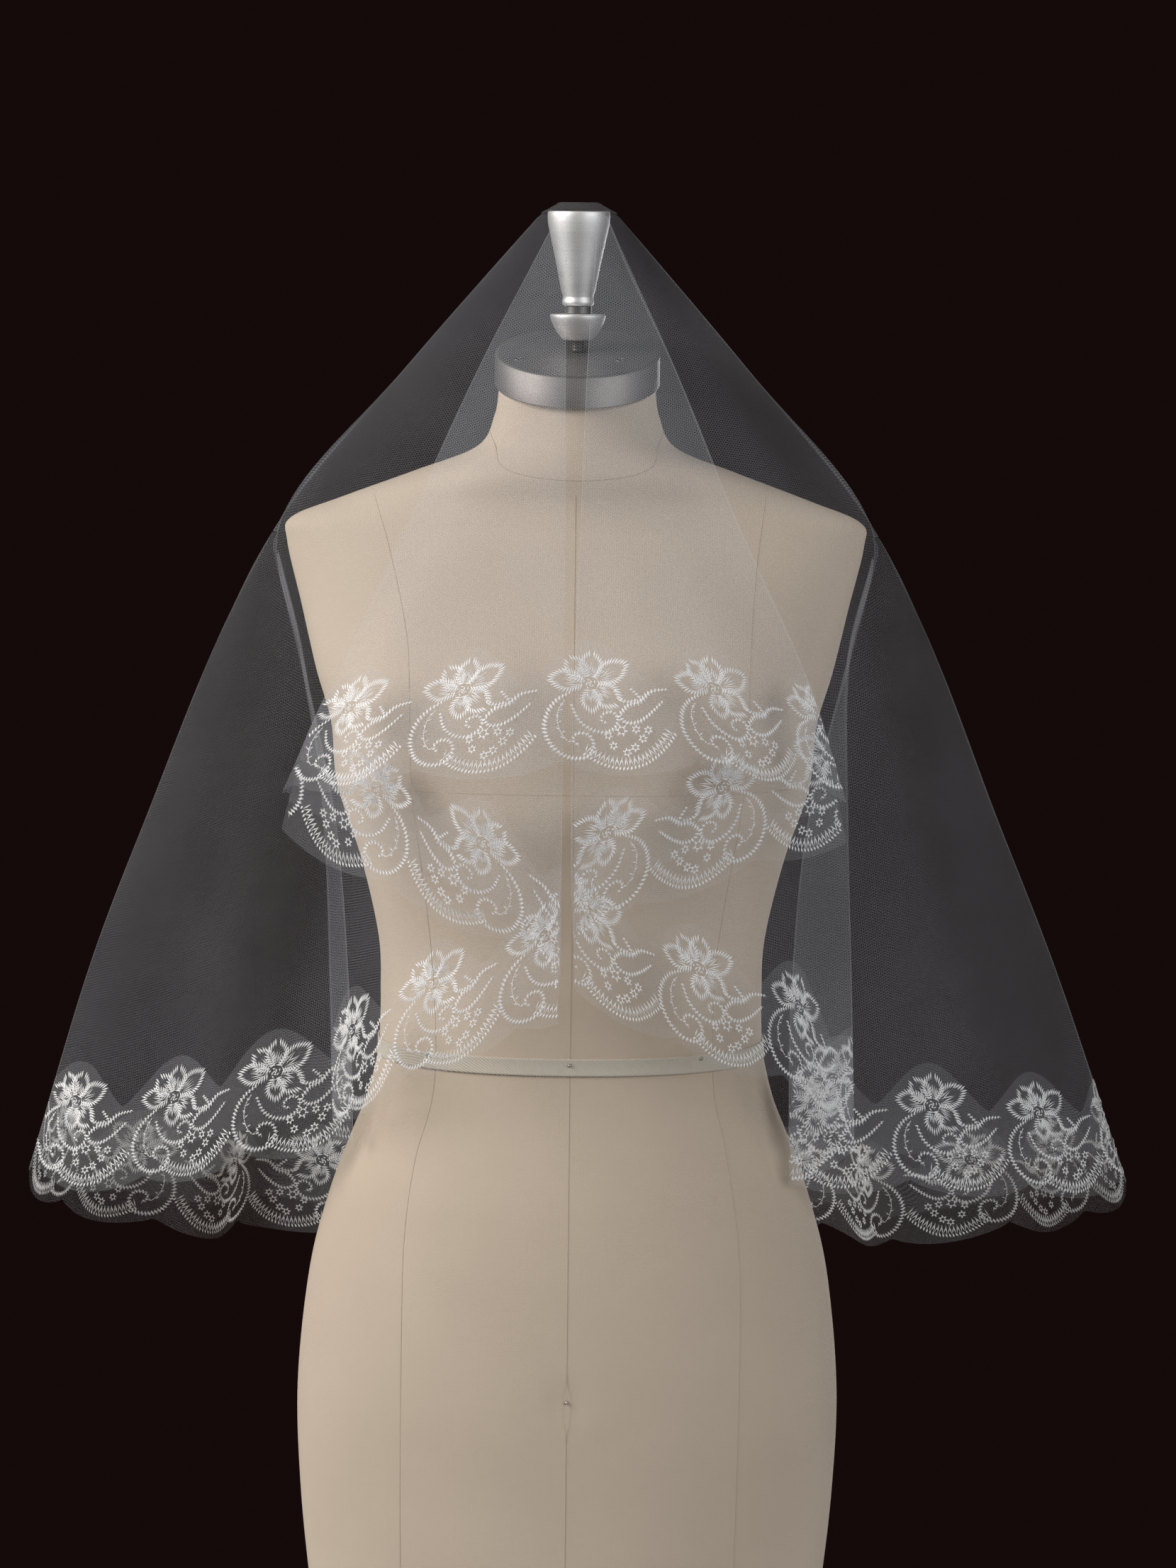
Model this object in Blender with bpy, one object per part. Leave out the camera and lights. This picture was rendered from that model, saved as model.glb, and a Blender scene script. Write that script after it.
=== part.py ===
# Bridal veil draped over a limbless dress form, in metres, Z up, front facing -Y.
# The origin is the middle of the underside of the round base.
import math

import bmesh
import bpy
import numpy as np

# Cloth
WALL = 0.001
SEAM_GAP = 0.0003
TRIM_OFFSET = WALL + 0.0006
HEM_LENGTH = 0.026
APEX_DEPTH = 0.0125
TRIM_PEAK = 0.087
TRIM_VALLEY = 0.058
TRIM_FLATNESS = 0.6
SCALLOP_REPEAT = 0.082
SCALLOP_RISE = 0.010
SCALLOP_COLUMNS = 5
SCALLOP_HIGH = 0.86
TRIM_HIGH = 0.64
NARROW_COLUMNS = 3
SCALLOP_FLATNESS = 0.7
BACK_PHASE = 0.36

# Form, neck and stand
TILT = math.tan(math.radians(15.0))
TORSO_COLUMNS = 28
TAPE_HEIGHT = 1.0595
TAPE_WIDTH = 0.011
TAPE_WALL = 0.0008
TAPE_GAP = SEAM_GAP + 0.0001
PLATE_RADIUS = 0.053
PLATE_HEIGHT = 0.021
PLATE_CENTRE = 1.4985
PLATE_EDGE = 0.0015
POLE_RADIUS = 0.016
BASE_RADIUS = 0.200
BASE_HEIGHT = 0.012

# Fold lines of the front flap from the knob down to the hem, each a list of x, y, z.
FLAP_RIBS = {
    "right_fold": [(0.0165, -0.0262, 1.5975), (0.062, -0.047, 1.500), (0.102, -0.068, 1.405),
                   (0.146, -0.085, 1.310), (0.173, -0.090, 1.228)],
    "right_middle": [(0.009, -0.0265, 1.5975), (0.040, -0.058, 1.500), (0.062, -0.090, 1.405),
                     (0.084, -0.124, 1.310), (0.094, -0.145, 1.250)],
    "centre": [(0.003, -0.0266, 1.5975), (0.003, -0.062, 1.500), (0.002, -0.097, 1.405),
               (0.004, -0.134, 1.310), (0.006, -0.153, 1.252)],
    "left_middle": [(-0.004, -0.0265, 1.5975), (-0.040, -0.057, 1.500), (-0.062, -0.089, 1.405),
                    (-0.084, -0.123, 1.310), (-0.100, -0.143, 1.245)],
    "left_fold": [(-0.012, -0.0262, 1.5975), (-0.062, -0.045, 1.500), (-0.105, -0.067, 1.405),
                  (-0.148, -0.085, 1.312), (-0.185, -0.089, 1.228)],
}

# Inner folds, which run from the flap's fold back to the middle.
INNER_LEFT = {
    "flap_fold": [(-0.0122, -0.0249, 1.597), (-0.0308, -0.0315, 1.560), (-0.0613, -0.0436, 1.500),
                  (-0.1040, -0.0655, 1.405), (-0.1470, -0.0832, 1.312), (-0.1690, -0.0848, 1.265),
                  (-0.1862, -0.0866, 1.202)],
    "middle": [(-0.0101, -0.0249, 1.597), (-0.0200, -0.0347, 1.560), (-0.036, -0.0508, 1.500),
               (-0.055, -0.0785, 1.405), (-0.078, -0.1110, 1.305), (-0.084, -0.1280, 1.235),
               (-0.092, -0.1350, 1.163)],
    "centre_fold": [(-0.0080, -0.0250, 1.597), (-0.0080, -0.0370, 1.560), (-0.0080, -0.0565, 1.500),
                    (-0.007, -0.0866, 1.405), (-0.007, -0.1195, 1.305), (-0.0070, -0.1425, 1.215),
                    (-0.007, -0.1530, 1.125)],
}
INNER_RIGHT = {
    "centre_fold": [(0.0125, -0.0250, 1.597), (0.0105, -0.0370, 1.560), (0.0070, -0.0566, 1.500),
                    (0.0040, -0.0867, 1.405), (0.0010, -0.1195, 1.305), (0.0000, -0.1425, 1.222),
                    (0.0025, -0.1520, 1.148)],
    "middle": [(0.0146, -0.0249, 1.597), (0.0220, -0.0343, 1.560), (0.037, -0.0510, 1.500),
               (0.055, -0.0785, 1.405), (0.078, -0.1110, 1.305), (0.082, -0.1280, 1.238),
               (0.084, -0.1350, 1.180)],
    "flap_fold": [(0.0167, -0.0249, 1.597), (0.0318, -0.0315, 1.560), (0.0610, -0.0452, 1.500),
                  (0.1010, -0.0665, 1.405), (0.1450, -0.0832, 1.310), (0.1600, -0.0846, 1.265),
                  (0.1745, -0.0870, 1.202)],
}

# Lower fronts, from the middle out to the fold along each armhole.
FRONT_LEFT = {
    "centre_fold": [(-0.0080, -0.0236, 1.5970), (-0.0080, -0.0545, 1.500), (-0.007, -0.0842, 1.405),
                    (-0.007, -0.1125, 1.310), (-0.0070, -0.1370, 1.210), (-0.007, -0.1455, 1.095)],
    "inner": [(-0.0165, -0.0176, 1.5970), (-0.045, -0.0428, 1.500), (-0.078, -0.0665, 1.405),
              (-0.068, -0.1025, 1.310), (-0.066, -0.1260, 1.210), (-0.067, -0.1375, 1.068)],
    "outer": [(-0.0222, -0.0095, 1.5970), (-0.082, -0.0245, 1.500), (-0.143, -0.0505, 1.403),
              (-0.125, -0.0835, 1.310), (-0.124, -0.0930, 1.210), (-0.121, -0.1040, 1.036)],
    "arm_fold": [(-0.0240, -0.0014, 1.5970), (-0.108, -0.0020, 1.500), (-0.1890, -0.0020, 1.4010),
                 (-0.1740, -0.0400, 1.310), (-0.1590, -0.0480, 1.210), (-0.1510, -0.0610, 1.004)],
}
FRONT_RIGHT = {
    "arm_fold": [(0.0240, -0.0014, 1.5970), (0.108, -0.0020, 1.500), (0.1890, -0.0020, 1.4010),
                 (0.1755, -0.0400, 1.310), (0.1760, -0.0480, 1.210), (0.1830, -0.0560, 0.996)],
    "outer": [(0.0228, -0.0105, 1.5970), (0.084, -0.0245, 1.500), (0.143, -0.0505, 1.403),
              (0.127, -0.0825, 1.310), (0.134, -0.0930, 1.210), (0.141, -0.1010, 1.045)],
    "inner": [(0.0190, -0.0185, 1.5970), (0.046, -0.0428, 1.500), (0.078, -0.0665, 1.405),
              (0.068, -0.1025, 1.310), (0.068, -0.1260, 1.210), (0.074, -0.1360, 1.074)],
    "centre_fold": [(0.0125, -0.0236, 1.5970), (0.0070, -0.0545, 1.500), (0.0040, -0.0842, 1.405),
                    (0.0010, -0.1125, 1.310), (0.0000, -0.1370, 1.210), (0.0025, -0.1455, 1.112)],
}

# Tucks behind the armhole folds.
TUCK_LEFT = {
    "arm_fold": [(-0.1913, -0.0070, 1.3800), (-0.1722, -0.0365, 1.310), (-0.1583, -0.0467, 1.210),
                 (-0.1530, -0.0530, 1.100), (-0.1503, -0.0596, 1.004)],
    "wing_fold": [(-0.1930, -0.0053, 1.3800), (-0.1738, -0.0300, 1.310), (-0.1525, -0.0415, 1.210),
                  (-0.1430, -0.0460, 1.100), (-0.1395, -0.0525, 1.000)],
}
TUCK_RIGHT = {
    "wing_fold": [(0.1930, -0.0053, 1.3800), (0.1740, -0.0300, 1.310), (0.1510, -0.0415, 1.210),
                  (0.1420, -0.0480, 1.100), (0.1415, -0.0575, 0.976)],
    "arm_fold": [(0.1913, -0.0070, 1.3800), (0.1738, -0.0365, 1.310), (0.1753, -0.0466, 1.210),
                 (0.1800, -0.0500, 1.100), (0.1823, -0.0546, 0.992)],
}

# Wings, from behind the tuck out over the shoulder to the silhouette.
WING_LEFT = {
    "wing_fold": [(-0.1919, -0.0035, 1.3920), (-0.1946, -0.0040, 1.3800), (-0.1860, -0.0152, 1.345),
                  (-0.1765, -0.0255, 1.310), (-0.1535, -0.0365, 1.210), (-0.1440, -0.0405, 1.100),
                  (-0.1405, -0.0460, 0.998)],
    "inner": [(-0.1926, -0.0024, 1.3920), (-0.1963, -0.0025, 1.3800), (-0.1985, -0.0072, 1.345),
              (-0.200, -0.0120, 1.310), (-0.204, -0.0230, 1.210), (-0.208, -0.0300, 1.100),
              (-0.212, -0.0350, 0.980)],
    "middle": [(-0.1933, -0.0013, 1.3920), (-0.1980, -0.0010, 1.3800), (-0.2080, -0.0016, 1.345),
               (-0.217, -0.0020, 1.310), (-0.241, -0.0010, 1.210), (-0.262, 0.0020, 1.100),
               (-0.281, 0.0060, 0.958)],
    "outer": [(-0.1940, -0.0003, 1.3920), (-0.1997, 0.0005, 1.3800), (-0.2150, 0.0040, 1.345),
              (-0.229, 0.0080, 1.310), (-0.265, 0.0190, 1.210), (-0.297, 0.0230, 1.100),
              (-0.330, 0.0260, 0.953)],
    "edge_fold": [(-0.1946, 0.0008, 1.3920), (-0.2015, 0.0020, 1.3800), (-0.2192, 0.0100, 1.345),
                  (-0.236, 0.0186, 1.310), (-0.276, 0.0346, 1.210), (-0.318, 0.0466, 1.100),
                  (-0.361, 0.0576, 0.957)],
}
WING_RIGHT = {
    "edge_fold": [(0.1946, 0.0008, 1.3920), (0.2015, 0.0020, 1.3800), (0.2192, 0.0100, 1.345),
                  (0.236, 0.0186, 1.310), (0.276, 0.0346, 1.210), (0.321, 0.0466, 1.100),
                  (0.372, 0.0576, 0.955)],
    "outer": [(0.1940, -0.0003, 1.3920), (0.1997, 0.0005, 1.3800), (0.2150, 0.0040, 1.345),
              (0.229, 0.0080, 1.310), (0.266, 0.0180, 1.210), (0.300, 0.0220, 1.100),
              (0.338, 0.0250, 0.955)],
    "middle": [(0.1933, -0.0013, 1.3920), (0.1980, -0.0010, 1.3800), (0.2080, -0.0016, 1.345),
               (0.217, -0.0030, 1.310), (0.243, -0.0050, 1.210), (0.266, -0.0050, 1.100),
               (0.289, -0.0040, 0.960)],
    "inner": [(0.1926, -0.0024, 1.3920), (0.1963, -0.0025, 1.3800), (0.1985, -0.0072, 1.345),
              (0.200, -0.0120, 1.310), (0.203, -0.0220, 1.210), (0.208, -0.0270, 1.100),
              (0.214, -0.0300, 0.968)],
    "wing_fold": [(0.1919, -0.0035, 1.3920), (0.1946, -0.0040, 1.3800), (0.1860, -0.0152, 1.345),
                  (0.1765, -0.0255, 1.310), (0.1520, -0.0360, 1.210), (0.1430, -0.0415, 1.100),
                  (0.1425, -0.0510, 0.970)],
}

# Back: half width, centre of the side fold in y, back of the centre line in y, and the hem
# height at the side and at the centre, for each level from the knob down.
BACK_LEVELS = [
    # half_left, half_right, side_y, back_y, side_z, centre_z, flute_depth
    (0.0240, 0.0240, 0.0012, 0.0240, 1.5970, 1.5970, 0.0000),
    (0.1080, 0.1080, 0.0018, 0.0740, 1.5000, 1.5000, 0.0015),
    (0.1895, 0.1895, 0.0014, 0.1060, 1.4010, 1.4040, 0.0050),
    (0.2360, 0.2360, 0.0200, 0.1340, 1.3100, 1.3100, 0.0100),
    (0.2760, 0.2760, 0.0360, 0.1620, 1.2100, 1.2000, 0.0160),
    (0.3180, 0.3210, 0.0480, 0.1980, 1.1000, 1.0750, 0.0225),
    (0.3610, 0.3720, 0.0590, 0.2520, 0.9570, 0.8700, 0.0310),
]
# Soft flutes of the back: angle round from the left side fold in degrees, depth as a share of
# the level's depth (out is positive) and half width in degrees.
BACK_FLUTES = [
    (28.0, 0.12, 12.0), (43.0, -0.45, 9.0), (57.0, 0.80, 9.0), (71.0, -1.00, 9.0),
    (86.0, 1.00, 10.0), (102.0, -0.90, 9.0), (116.0, 0.90, 9.0), (130.0, -0.60, 8.0),
    (143.0, 0.35, 9.0), (158.0, -0.12, 10.0),
]

# Dress form sections from the neck down.
TORSO_SECTIONS = [
    # z, half_width, front_y, back_y, roundness
    (1.4876, 0.0500, -0.0480, 0.0480, 2.0),
    (1.4680, 0.0530, -0.0500, 0.0520, 2.0),
    (1.4480, 0.0640, -0.0540, 0.0580, 2.0),
    (1.4320, 0.1040, -0.0560, 0.0640, 2.0),
    (1.4150, 0.1500, -0.0540, 0.0690, 1.7),
    (1.4010, 0.1838, -0.0560, 0.0740, 1.6),
    (1.3850, 0.1860, -0.0620, 0.0800, 1.7),
    (1.3450, 0.1765, -0.0780, 0.0880, 2.1),
    (1.3050, 0.1670, -0.0980, 0.0930, 2.4),
    (1.2700, 0.1570, -0.1140, 0.0960, 2.3),
    (1.2300, 0.1530, -0.1230, 0.0970, 2.2),
    (1.1810, 0.1370, -0.1120, 0.0910, 2.2),
    (1.1300, 0.1255, -0.1000, 0.0840, 2.2),
    (1.0930, 0.1240, -0.0955, 0.0785, 2.2),
    (1.0650, 0.1245, -0.0943, 0.0776, 2.2),
    (1.0540, 0.1255, -0.0948, 0.0782, 2.2),
    (1.0250, 0.1325, -0.0970, 0.0815, 2.2),
    (0.9960, 0.1440, -0.1000, 0.0890, 2.2),
    (0.9600, 0.1570, -0.1040, 0.1030, 2.2),
    (0.9100, 0.1695, -0.1070, 0.1160, 2.2),
    (0.8350, 0.1770, -0.1060, 0.1230, 2.2),
    (0.7650, 0.1750, -0.1000, 0.1200, 2.2),
    (0.6950, 0.1680, -0.0940, 0.1120, 2.2),
    (0.6400, 0.1600, -0.0890, 0.1040, 2.2),
    (0.6300, 0.1540, -0.0840, 0.0980, 2.2),
]

# Turned metal parts as radius and height pairs.
KNOB_PROFILE = [
    (0.0010, 1.5384), (0.0085, 1.5384), (0.0099, 1.5394), (0.0103, 1.5411), (0.0098, 1.5430),
    (0.0110, 1.5485), (0.0145, 1.5665), (0.0180, 1.5825), (0.0198, 1.5910), (0.0201, 1.5955),
    (0.0197, 1.5978), (0.0188, 1.5991), (0.0010, 1.5991),
]
BOWL_PROFILE = [
    (0.0048, 1.5168), (0.0085, 1.5166), (0.0108, 1.5184), (0.0138, 1.5224), (0.0162, 1.5268),
    (0.0176, 1.5304), (0.0179, 1.5322), (0.0174, 1.5332), (0.0110, 1.5335), (0.0048, 1.5335),
]
BOLT_RADIUS = 0.0036
THREAD_RADIUS = 0.0043
THREAD_PITCH = 0.0022
BOLT_TOP = 1.5381
BOLT_BOTTOM = 1.5093
COLLAR_RADIUS = 0.0088
COLLAR_BOTTOM = 1.5338


def clear_scene():
    for item in list(bpy.data.objects):
        bpy.data.objects.remove(item, do_unlink=True)


def make_material(name, colour, roughness, metallic):
    material = bpy.data.materials.new(name)
    material.use_nodes = True
    shader = material.node_tree.nodes["Principled BSDF"]
    shader.inputs["Base Color"].default_value = (*colour, 1.0)
    shader.inputs["Roughness"].default_value = roughness
    shader.inputs["Metallic"].default_value = metallic
    material.diffuse_color = (*colour, 1.0)
    return material


def add_solid(name, points, faces, material, smooth=True):
    mesh = bpy.data.meshes.new(name)
    mesh.from_pydata([tuple(map(float, point)) for point in points], [], faces)
    builder = bmesh.new()
    builder.from_mesh(mesh)
    bmesh.ops.recalc_face_normals(builder, faces=builder.faces)
    if builder.calc_volume(signed=True) < 0:
        bmesh.ops.reverse_faces(builder, faces=builder.faces)
    builder.to_mesh(mesh)
    builder.free()
    for polygon in mesh.polygons:
        polygon.use_smooth = smooth
    mesh.materials.append(material)
    solid = bpy.data.objects.new(name, mesh)
    bpy.context.scene.collection.objects.link(solid)
    return solid


def curve_at(points, place):
    """Point on the smooth curve through the points, with place counted in points."""
    points = np.asarray(points, float)
    last = len(points) - 1
    place = min(max(place, 0.0), last)
    start = min(int(place), last - 1)
    share = place - start
    before = points[start - 1] if start > 0 else 2 * points[0] - points[1]
    after = points[start + 2] if start + 2 <= last else 2 * points[last] - points[last - 1]
    near, far = points[start], points[start + 1]
    slope_in = (far - before) / 2
    slope_out = (after - near) / 2
    square, cube = share * share, share ** 3
    return ((2 * cube - 3 * square + 1) * near + (cube - 2 * square + share) * slope_in
            + (3 * square - 2 * cube) * far + (cube - square) * slope_out)


def length_along(points):
    steps = np.linalg.norm(np.diff(points, axis=0), axis=1)
    return np.concatenate([[0.0], np.cumsum(steps)])


def panel_line(ribs, across):
    """Finely spaced line from the top of a panel to its hem, at a place across its ribs."""
    rows = list(zip(*ribs.values()))
    points = [curve_at(row, across) for row in rows]
    return np.array([curve_at(points, place) for place in np.linspace(0, len(points) - 1, 41)])


def back_line(angle):
    """Finely spaced line of the back, at an angle round from the left side fold."""
    points = []
    radians = math.radians(angle)
    flute = 0.0
    for centre, depth, half in BACK_FLUTES:
        flute += depth * math.exp(-((angle - centre) / half * 1.25) ** 2)
    flute *= min(1.0, angle / 6.0, (180.0 - angle) / 6.0)
    for left, right, side_y, back_y, side_z, centre_z, deep in BACK_LEVELS:
        half_width = left + (right - left) * angle / 180.0
        round_share = math.sin(radians)
        reach = 1.0 + flute * deep / math.hypot(half_width, back_y - side_y) * 1.4
        x = -half_width * math.cos(radians) * reach
        y = side_y + (back_y - side_y) * round_share * reach + flute * deep * 0.5 * round_share
        z = side_z + (centre_z - side_z) * round_share ** 0.7 + flute * deep * 0.12
        points.append((x, y, z))
    return np.array([curve_at(points, place) for place in np.linspace(0, len(points) - 1, 49)])


def cloth_grid(line_at, span, rows, start=0.0):
    """Grid of points, one line for each evenly spaced place along the hem."""
    places = np.linspace(0.0, span, 161)
    hem = np.array([line_at(place)[-1] for place in places])
    lengths = length_along(hem)
    count = max(2, round(lengths[-1] / SCALLOP_REPEAT)) * SCALLOP_COLUMNS
    if lengths[-1] < SCALLOP_REPEAT:
        count = NARROW_COLUMNS
    grid = []
    for share in np.linspace(0.0, 1.0, count + 1):
        line = line_at(np.interp(share * lengths[-1], lengths, places))
        down = length_along(line)
        total = down[-1]
        depths = [0.0] if start > 0.0 else []
        depths += [start + (total - TRIM_PEAK - start) * row / (rows - 1) for row in range(rows)]
        depths += [total - HEM_LENGTH, total]
        grid.append([[np.interp(depth, down, line[:, axis]) for axis in range(3)] for depth in depths])
    return np.array(grid)


def grid_normals(grid):
    across = np.gradient(grid, axis=0)
    down = np.gradient(grid, axis=1)
    normals = np.cross(across, down)
    return normals / np.linalg.norm(normals, axis=2, keepdims=True)


def add_wall(name, grid, normals, wall, material):
    """Closed thin wall centred on a grid of points."""
    columns, rows = grid.shape[:2]
    outer = (grid + normals * wall / 2).reshape(-1, 3)
    inner = (grid - normals * wall / 2).reshape(-1, 3)
    half = columns * rows
    faces = []
    for column in range(columns - 1):
        for row in range(rows - 1):
            first = column * rows + row
            quad = (first, first + 1, first + rows + 1, first + rows)
            faces.append(quad)
            faces.append(tuple(half + quad[corner] for corner in (0, 3, 2, 1)))
    rim = [column * rows for column in range(columns)]
    rim += [(columns - 1) * rows + row for row in range(1, rows)]
    rim += [column * rows + rows - 1 for column in range(columns - 2, -1, -1)]
    rim += [row for row in range(rows - 2, 0, -1)]
    for index, corner in enumerate(rim):
        following = rim[(index + 1) % len(rim)]
        faces.append((corner, following, half + following, half + corner))
    add_solid(name, np.concatenate([outer, inner]), faces, material)


def add_cloth(name, line_at, span, rows, cloth, trim, phase, anchor=0.5, start=0.0):
    """Tulle wall and the scalloped lace sewn to its outer side.

    The phase is the lace's place in its repeat at the anchor, a share of the way along the hem.
    """
    grid = cloth_grid(line_at, span, rows, start)
    normals = grid_normals(grid)
    add_wall(name, grid[:, :-1], normals[:, :-1], WALL, cloth)
    columns = grid.shape[0]
    repeats = length_along(grid[:, -1])[-1] / SCALLOP_REPEAT
    trim_grid = np.empty((columns, 3, 3))
    trim_normals = np.empty_like(trim_grid)
    for column in range(columns):
        place = phase + (column / (columns - 1) - anchor) * repeats
        wave = (0.5 + 0.5 * math.cos((place - TRIM_HIGH) * math.tau)) ** TRIM_FLATNESS
        height = TRIM_VALLEY + (TRIM_PEAK - TRIM_VALLEY) * wave
        share = (TRIM_PEAK - height) / (TRIM_PEAK - HEM_LENGTH)
        dip = abs(math.sin((place - SCALLOP_HIGH) * math.pi)) ** SCALLOP_FLATNESS
        rise = SCALLOP_RISE * (1 - dip) / HEM_LENGTH
        for source, target in ((grid, trim_grid), (normals, trim_normals)):
            target[column, 0] = source[column, -3] * (1 - share) + source[column, -2] * share
            target[column, 1] = source[column, -2]
            target[column, 2] = source[column, -1] * (1 - rise) + source[column, -2] * rise
    add_wall(name + "_lace", trim_grid + trim_normals * TRIM_OFFSET, trim_normals, WALL, trim)


def add_panel(name, ribs, rows, cloth, trim, phase, start):
    span = len(ribs) - 1
    add_cloth(name, lambda place: panel_line(ribs, place), span, rows, cloth, trim, phase, start=start)


def section_ring(section, offset, columns):
    z, half_width, front_y, back_y, roundness = section
    ring = []
    for column in range(columns):
        angle = math.tau * column / columns
        side, depth = math.sin(angle), -math.cos(angle)
        x = math.copysign(abs(side) ** (2 / roundness), side) * (half_width + offset)
        reach = (-front_y if depth < 0 else back_y) + offset
        y = math.copysign(abs(depth) ** (2 / roundness), depth) * reach
        ring.append((x, y, z))
    return ring


def add_turned(name, profile, material, segments, hollow=False, lean_bottom=False):
    """Turned solid from a profile that runs from its inner foot round to its inner top."""
    points = []
    for index, (radius, height) in enumerate(profile):
        for segment in range(segments):
            angle = math.tau * segment / segments
            x, y = radius * math.sin(angle), -radius * math.cos(angle)
            points.append((x, y, height + (y * TILT if lean_bottom and index < 1 else 0.0)))
    faces = []
    count = len(profile)
    for index in range(count if hollow else count - 1):
        following = (index + 1) % count
        for segment in range(segments):
            turn = (segment + 1) % segments
            faces.append((index * segments + segment, index * segments + turn,
                          following * segments + turn, following * segments + segment))
    if not hollow:
        faces.append(tuple(range(segments)))
        faces.append(tuple((count - 1) * segments + segment for segment in range(segments)))
    add_solid(name, points, faces, material)


def build_veil(cloth, trim):
    """Front panels, each with its ribs, its rows and the lace's phase in the middle of its hem."""
    panels = (
        ("front_flap", FLAP_RIBS, 6, 0.83, 0.0),
        ("inner_fold_left", INNER_LEFT, 6, 0.13, 0.0),
        ("inner_fold_right", INNER_RIGHT, 6, 0.55, 0.0),
        ("lower_front_left", FRONT_LEFT, 8, 0.75, 0.0),
        ("lower_front_right", FRONT_RIGHT, 8, 0.27, 0.0),
        ("tuck_left", TUCK_LEFT, 5, 0.40, 0.0),
        ("tuck_right", TUCK_RIGHT, 5, 0.55, 0.0),
        ("wing_left", WING_LEFT, 6, 0.52, APEX_DEPTH),
        ("wing_right", WING_RIGHT, 6, 0.32, APEX_DEPTH),
    )
    for name, ribs, rows, phase, start in panels:
        add_panel(name, ribs, rows, cloth, trim, phase, start)


def build_back(cloth, trim):
    middle_gap = 0.06
    half = 90.0 - middle_gap
    right_start = 90.0 + middle_gap
    add_cloth("back_left", back_line, half, 8, cloth, trim, BACK_PHASE, anchor=1.0)
    add_cloth("back_right", lambda place: back_line(right_start + place), half, 8,
              cloth, trim, BACK_PHASE, anchor=0.0)


def build_crown(cloth):
    """Cap of tulle over the knob: a small flat top with sloping sides."""
    half_width, front, back = 0.0245, 0.0271, 0.0250
    columns = 24
    levels = [(0.25, 1.6045), (0.50, 1.6045), (0.60, 1.6030), (0.85, 1.5996), (1.0, 1.5979)]
    rings = []
    for scale, height in levels:
        ring = []
        for column in range(columns):
            angle = math.tau * column / columns
            depth = front if math.cos(angle) > 0 else back
            ring.append((half_width * scale * math.sin(angle), -depth * scale * math.cos(angle), height))
        rings.append(ring)
    points = [point for ring in rings for point in ring]
    for (scale, height), ring in zip(levels, rings):
        inner_scale = 1.0 - WALL / (half_width * scale) * (0.8 if scale > 0.5 else 0.0)
        inner_height = height - (WALL if scale <= 0.5 else 0.7 * WALL if scale < 1.0 else 0.0)
        points += [(x * inner_scale, y * inner_scale, inner_height) for x, y, _ in ring]
    half = len(levels) * columns
    faces = [tuple(range(columns)), tuple(half + column for column in range(columns))]
    for level in range(len(levels) - 1):
        for column in range(columns):
            turn = (column + 1) % columns
            quad = (level * columns + column, level * columns + turn,
                    (level + 1) * columns + turn, (level + 1) * columns + column)
            faces += [quad, tuple(half + index for index in quad)]
    last = (len(levels) - 1) * columns
    for column in range(columns):
        turn = (column + 1) % columns
        faces.append((last + column, last + turn, half + last + turn, half + last + column))
    add_solid("veil_crown", points, faces, cloth)


def build_torso(cover):
    points = []
    for index, section in enumerate(TORSO_SECTIONS):
        lean = TILT * (1.0 if index == 0 else 0.5 if index == 1 else 0.0)
        points += [(x, y, z + y * lean) for x, y, z in section_ring(section, 0.0, TORSO_COLUMNS)]
    count = len(TORSO_SECTIONS)
    faces = [tuple(range(TORSO_COLUMNS))]
    faces.append(tuple((count - 1) * TORSO_COLUMNS + column for column in range(TORSO_COLUMNS)))
    for level in range(count - 1):
        for column in range(TORSO_COLUMNS):
            turn = (column + 1) % TORSO_COLUMNS
            faces.append((level * TORSO_COLUMNS + column, level * TORSO_COLUMNS + turn,
                          (level + 1) * TORSO_COLUMNS + turn, (level + 1) * TORSO_COLUMNS + column))
    add_solid("form_torso", points, faces, cover)


def build_waist_tape(tape):
    near = [section for section in TORSO_SECTIONS if abs(section[0] - TAPE_HEIGHT) < TAPE_WIDTH]
    upper, lower = near
    outer = TAPE_GAP + TAPE_WALL
    rings = [section_ring(section, offset, TORSO_COLUMNS)
             for section, offset in ((upper, outer), (lower, outer), (lower, TAPE_GAP), (upper, TAPE_GAP))]
    points = [point for ring in rings for point in ring]
    faces = []
    for level in range(4):
        for column in range(TORSO_COLUMNS):
            turn = (column + 1) % TORSO_COLUMNS
            below = (level + 1) % 4
            faces.append((level * TORSO_COLUMNS + column, level * TORSO_COLUMNS + turn,
                          below * TORSO_COLUMNS + turn, below * TORSO_COLUMNS + column))
    add_solid("waist_tape", points, faces, tape)


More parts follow.
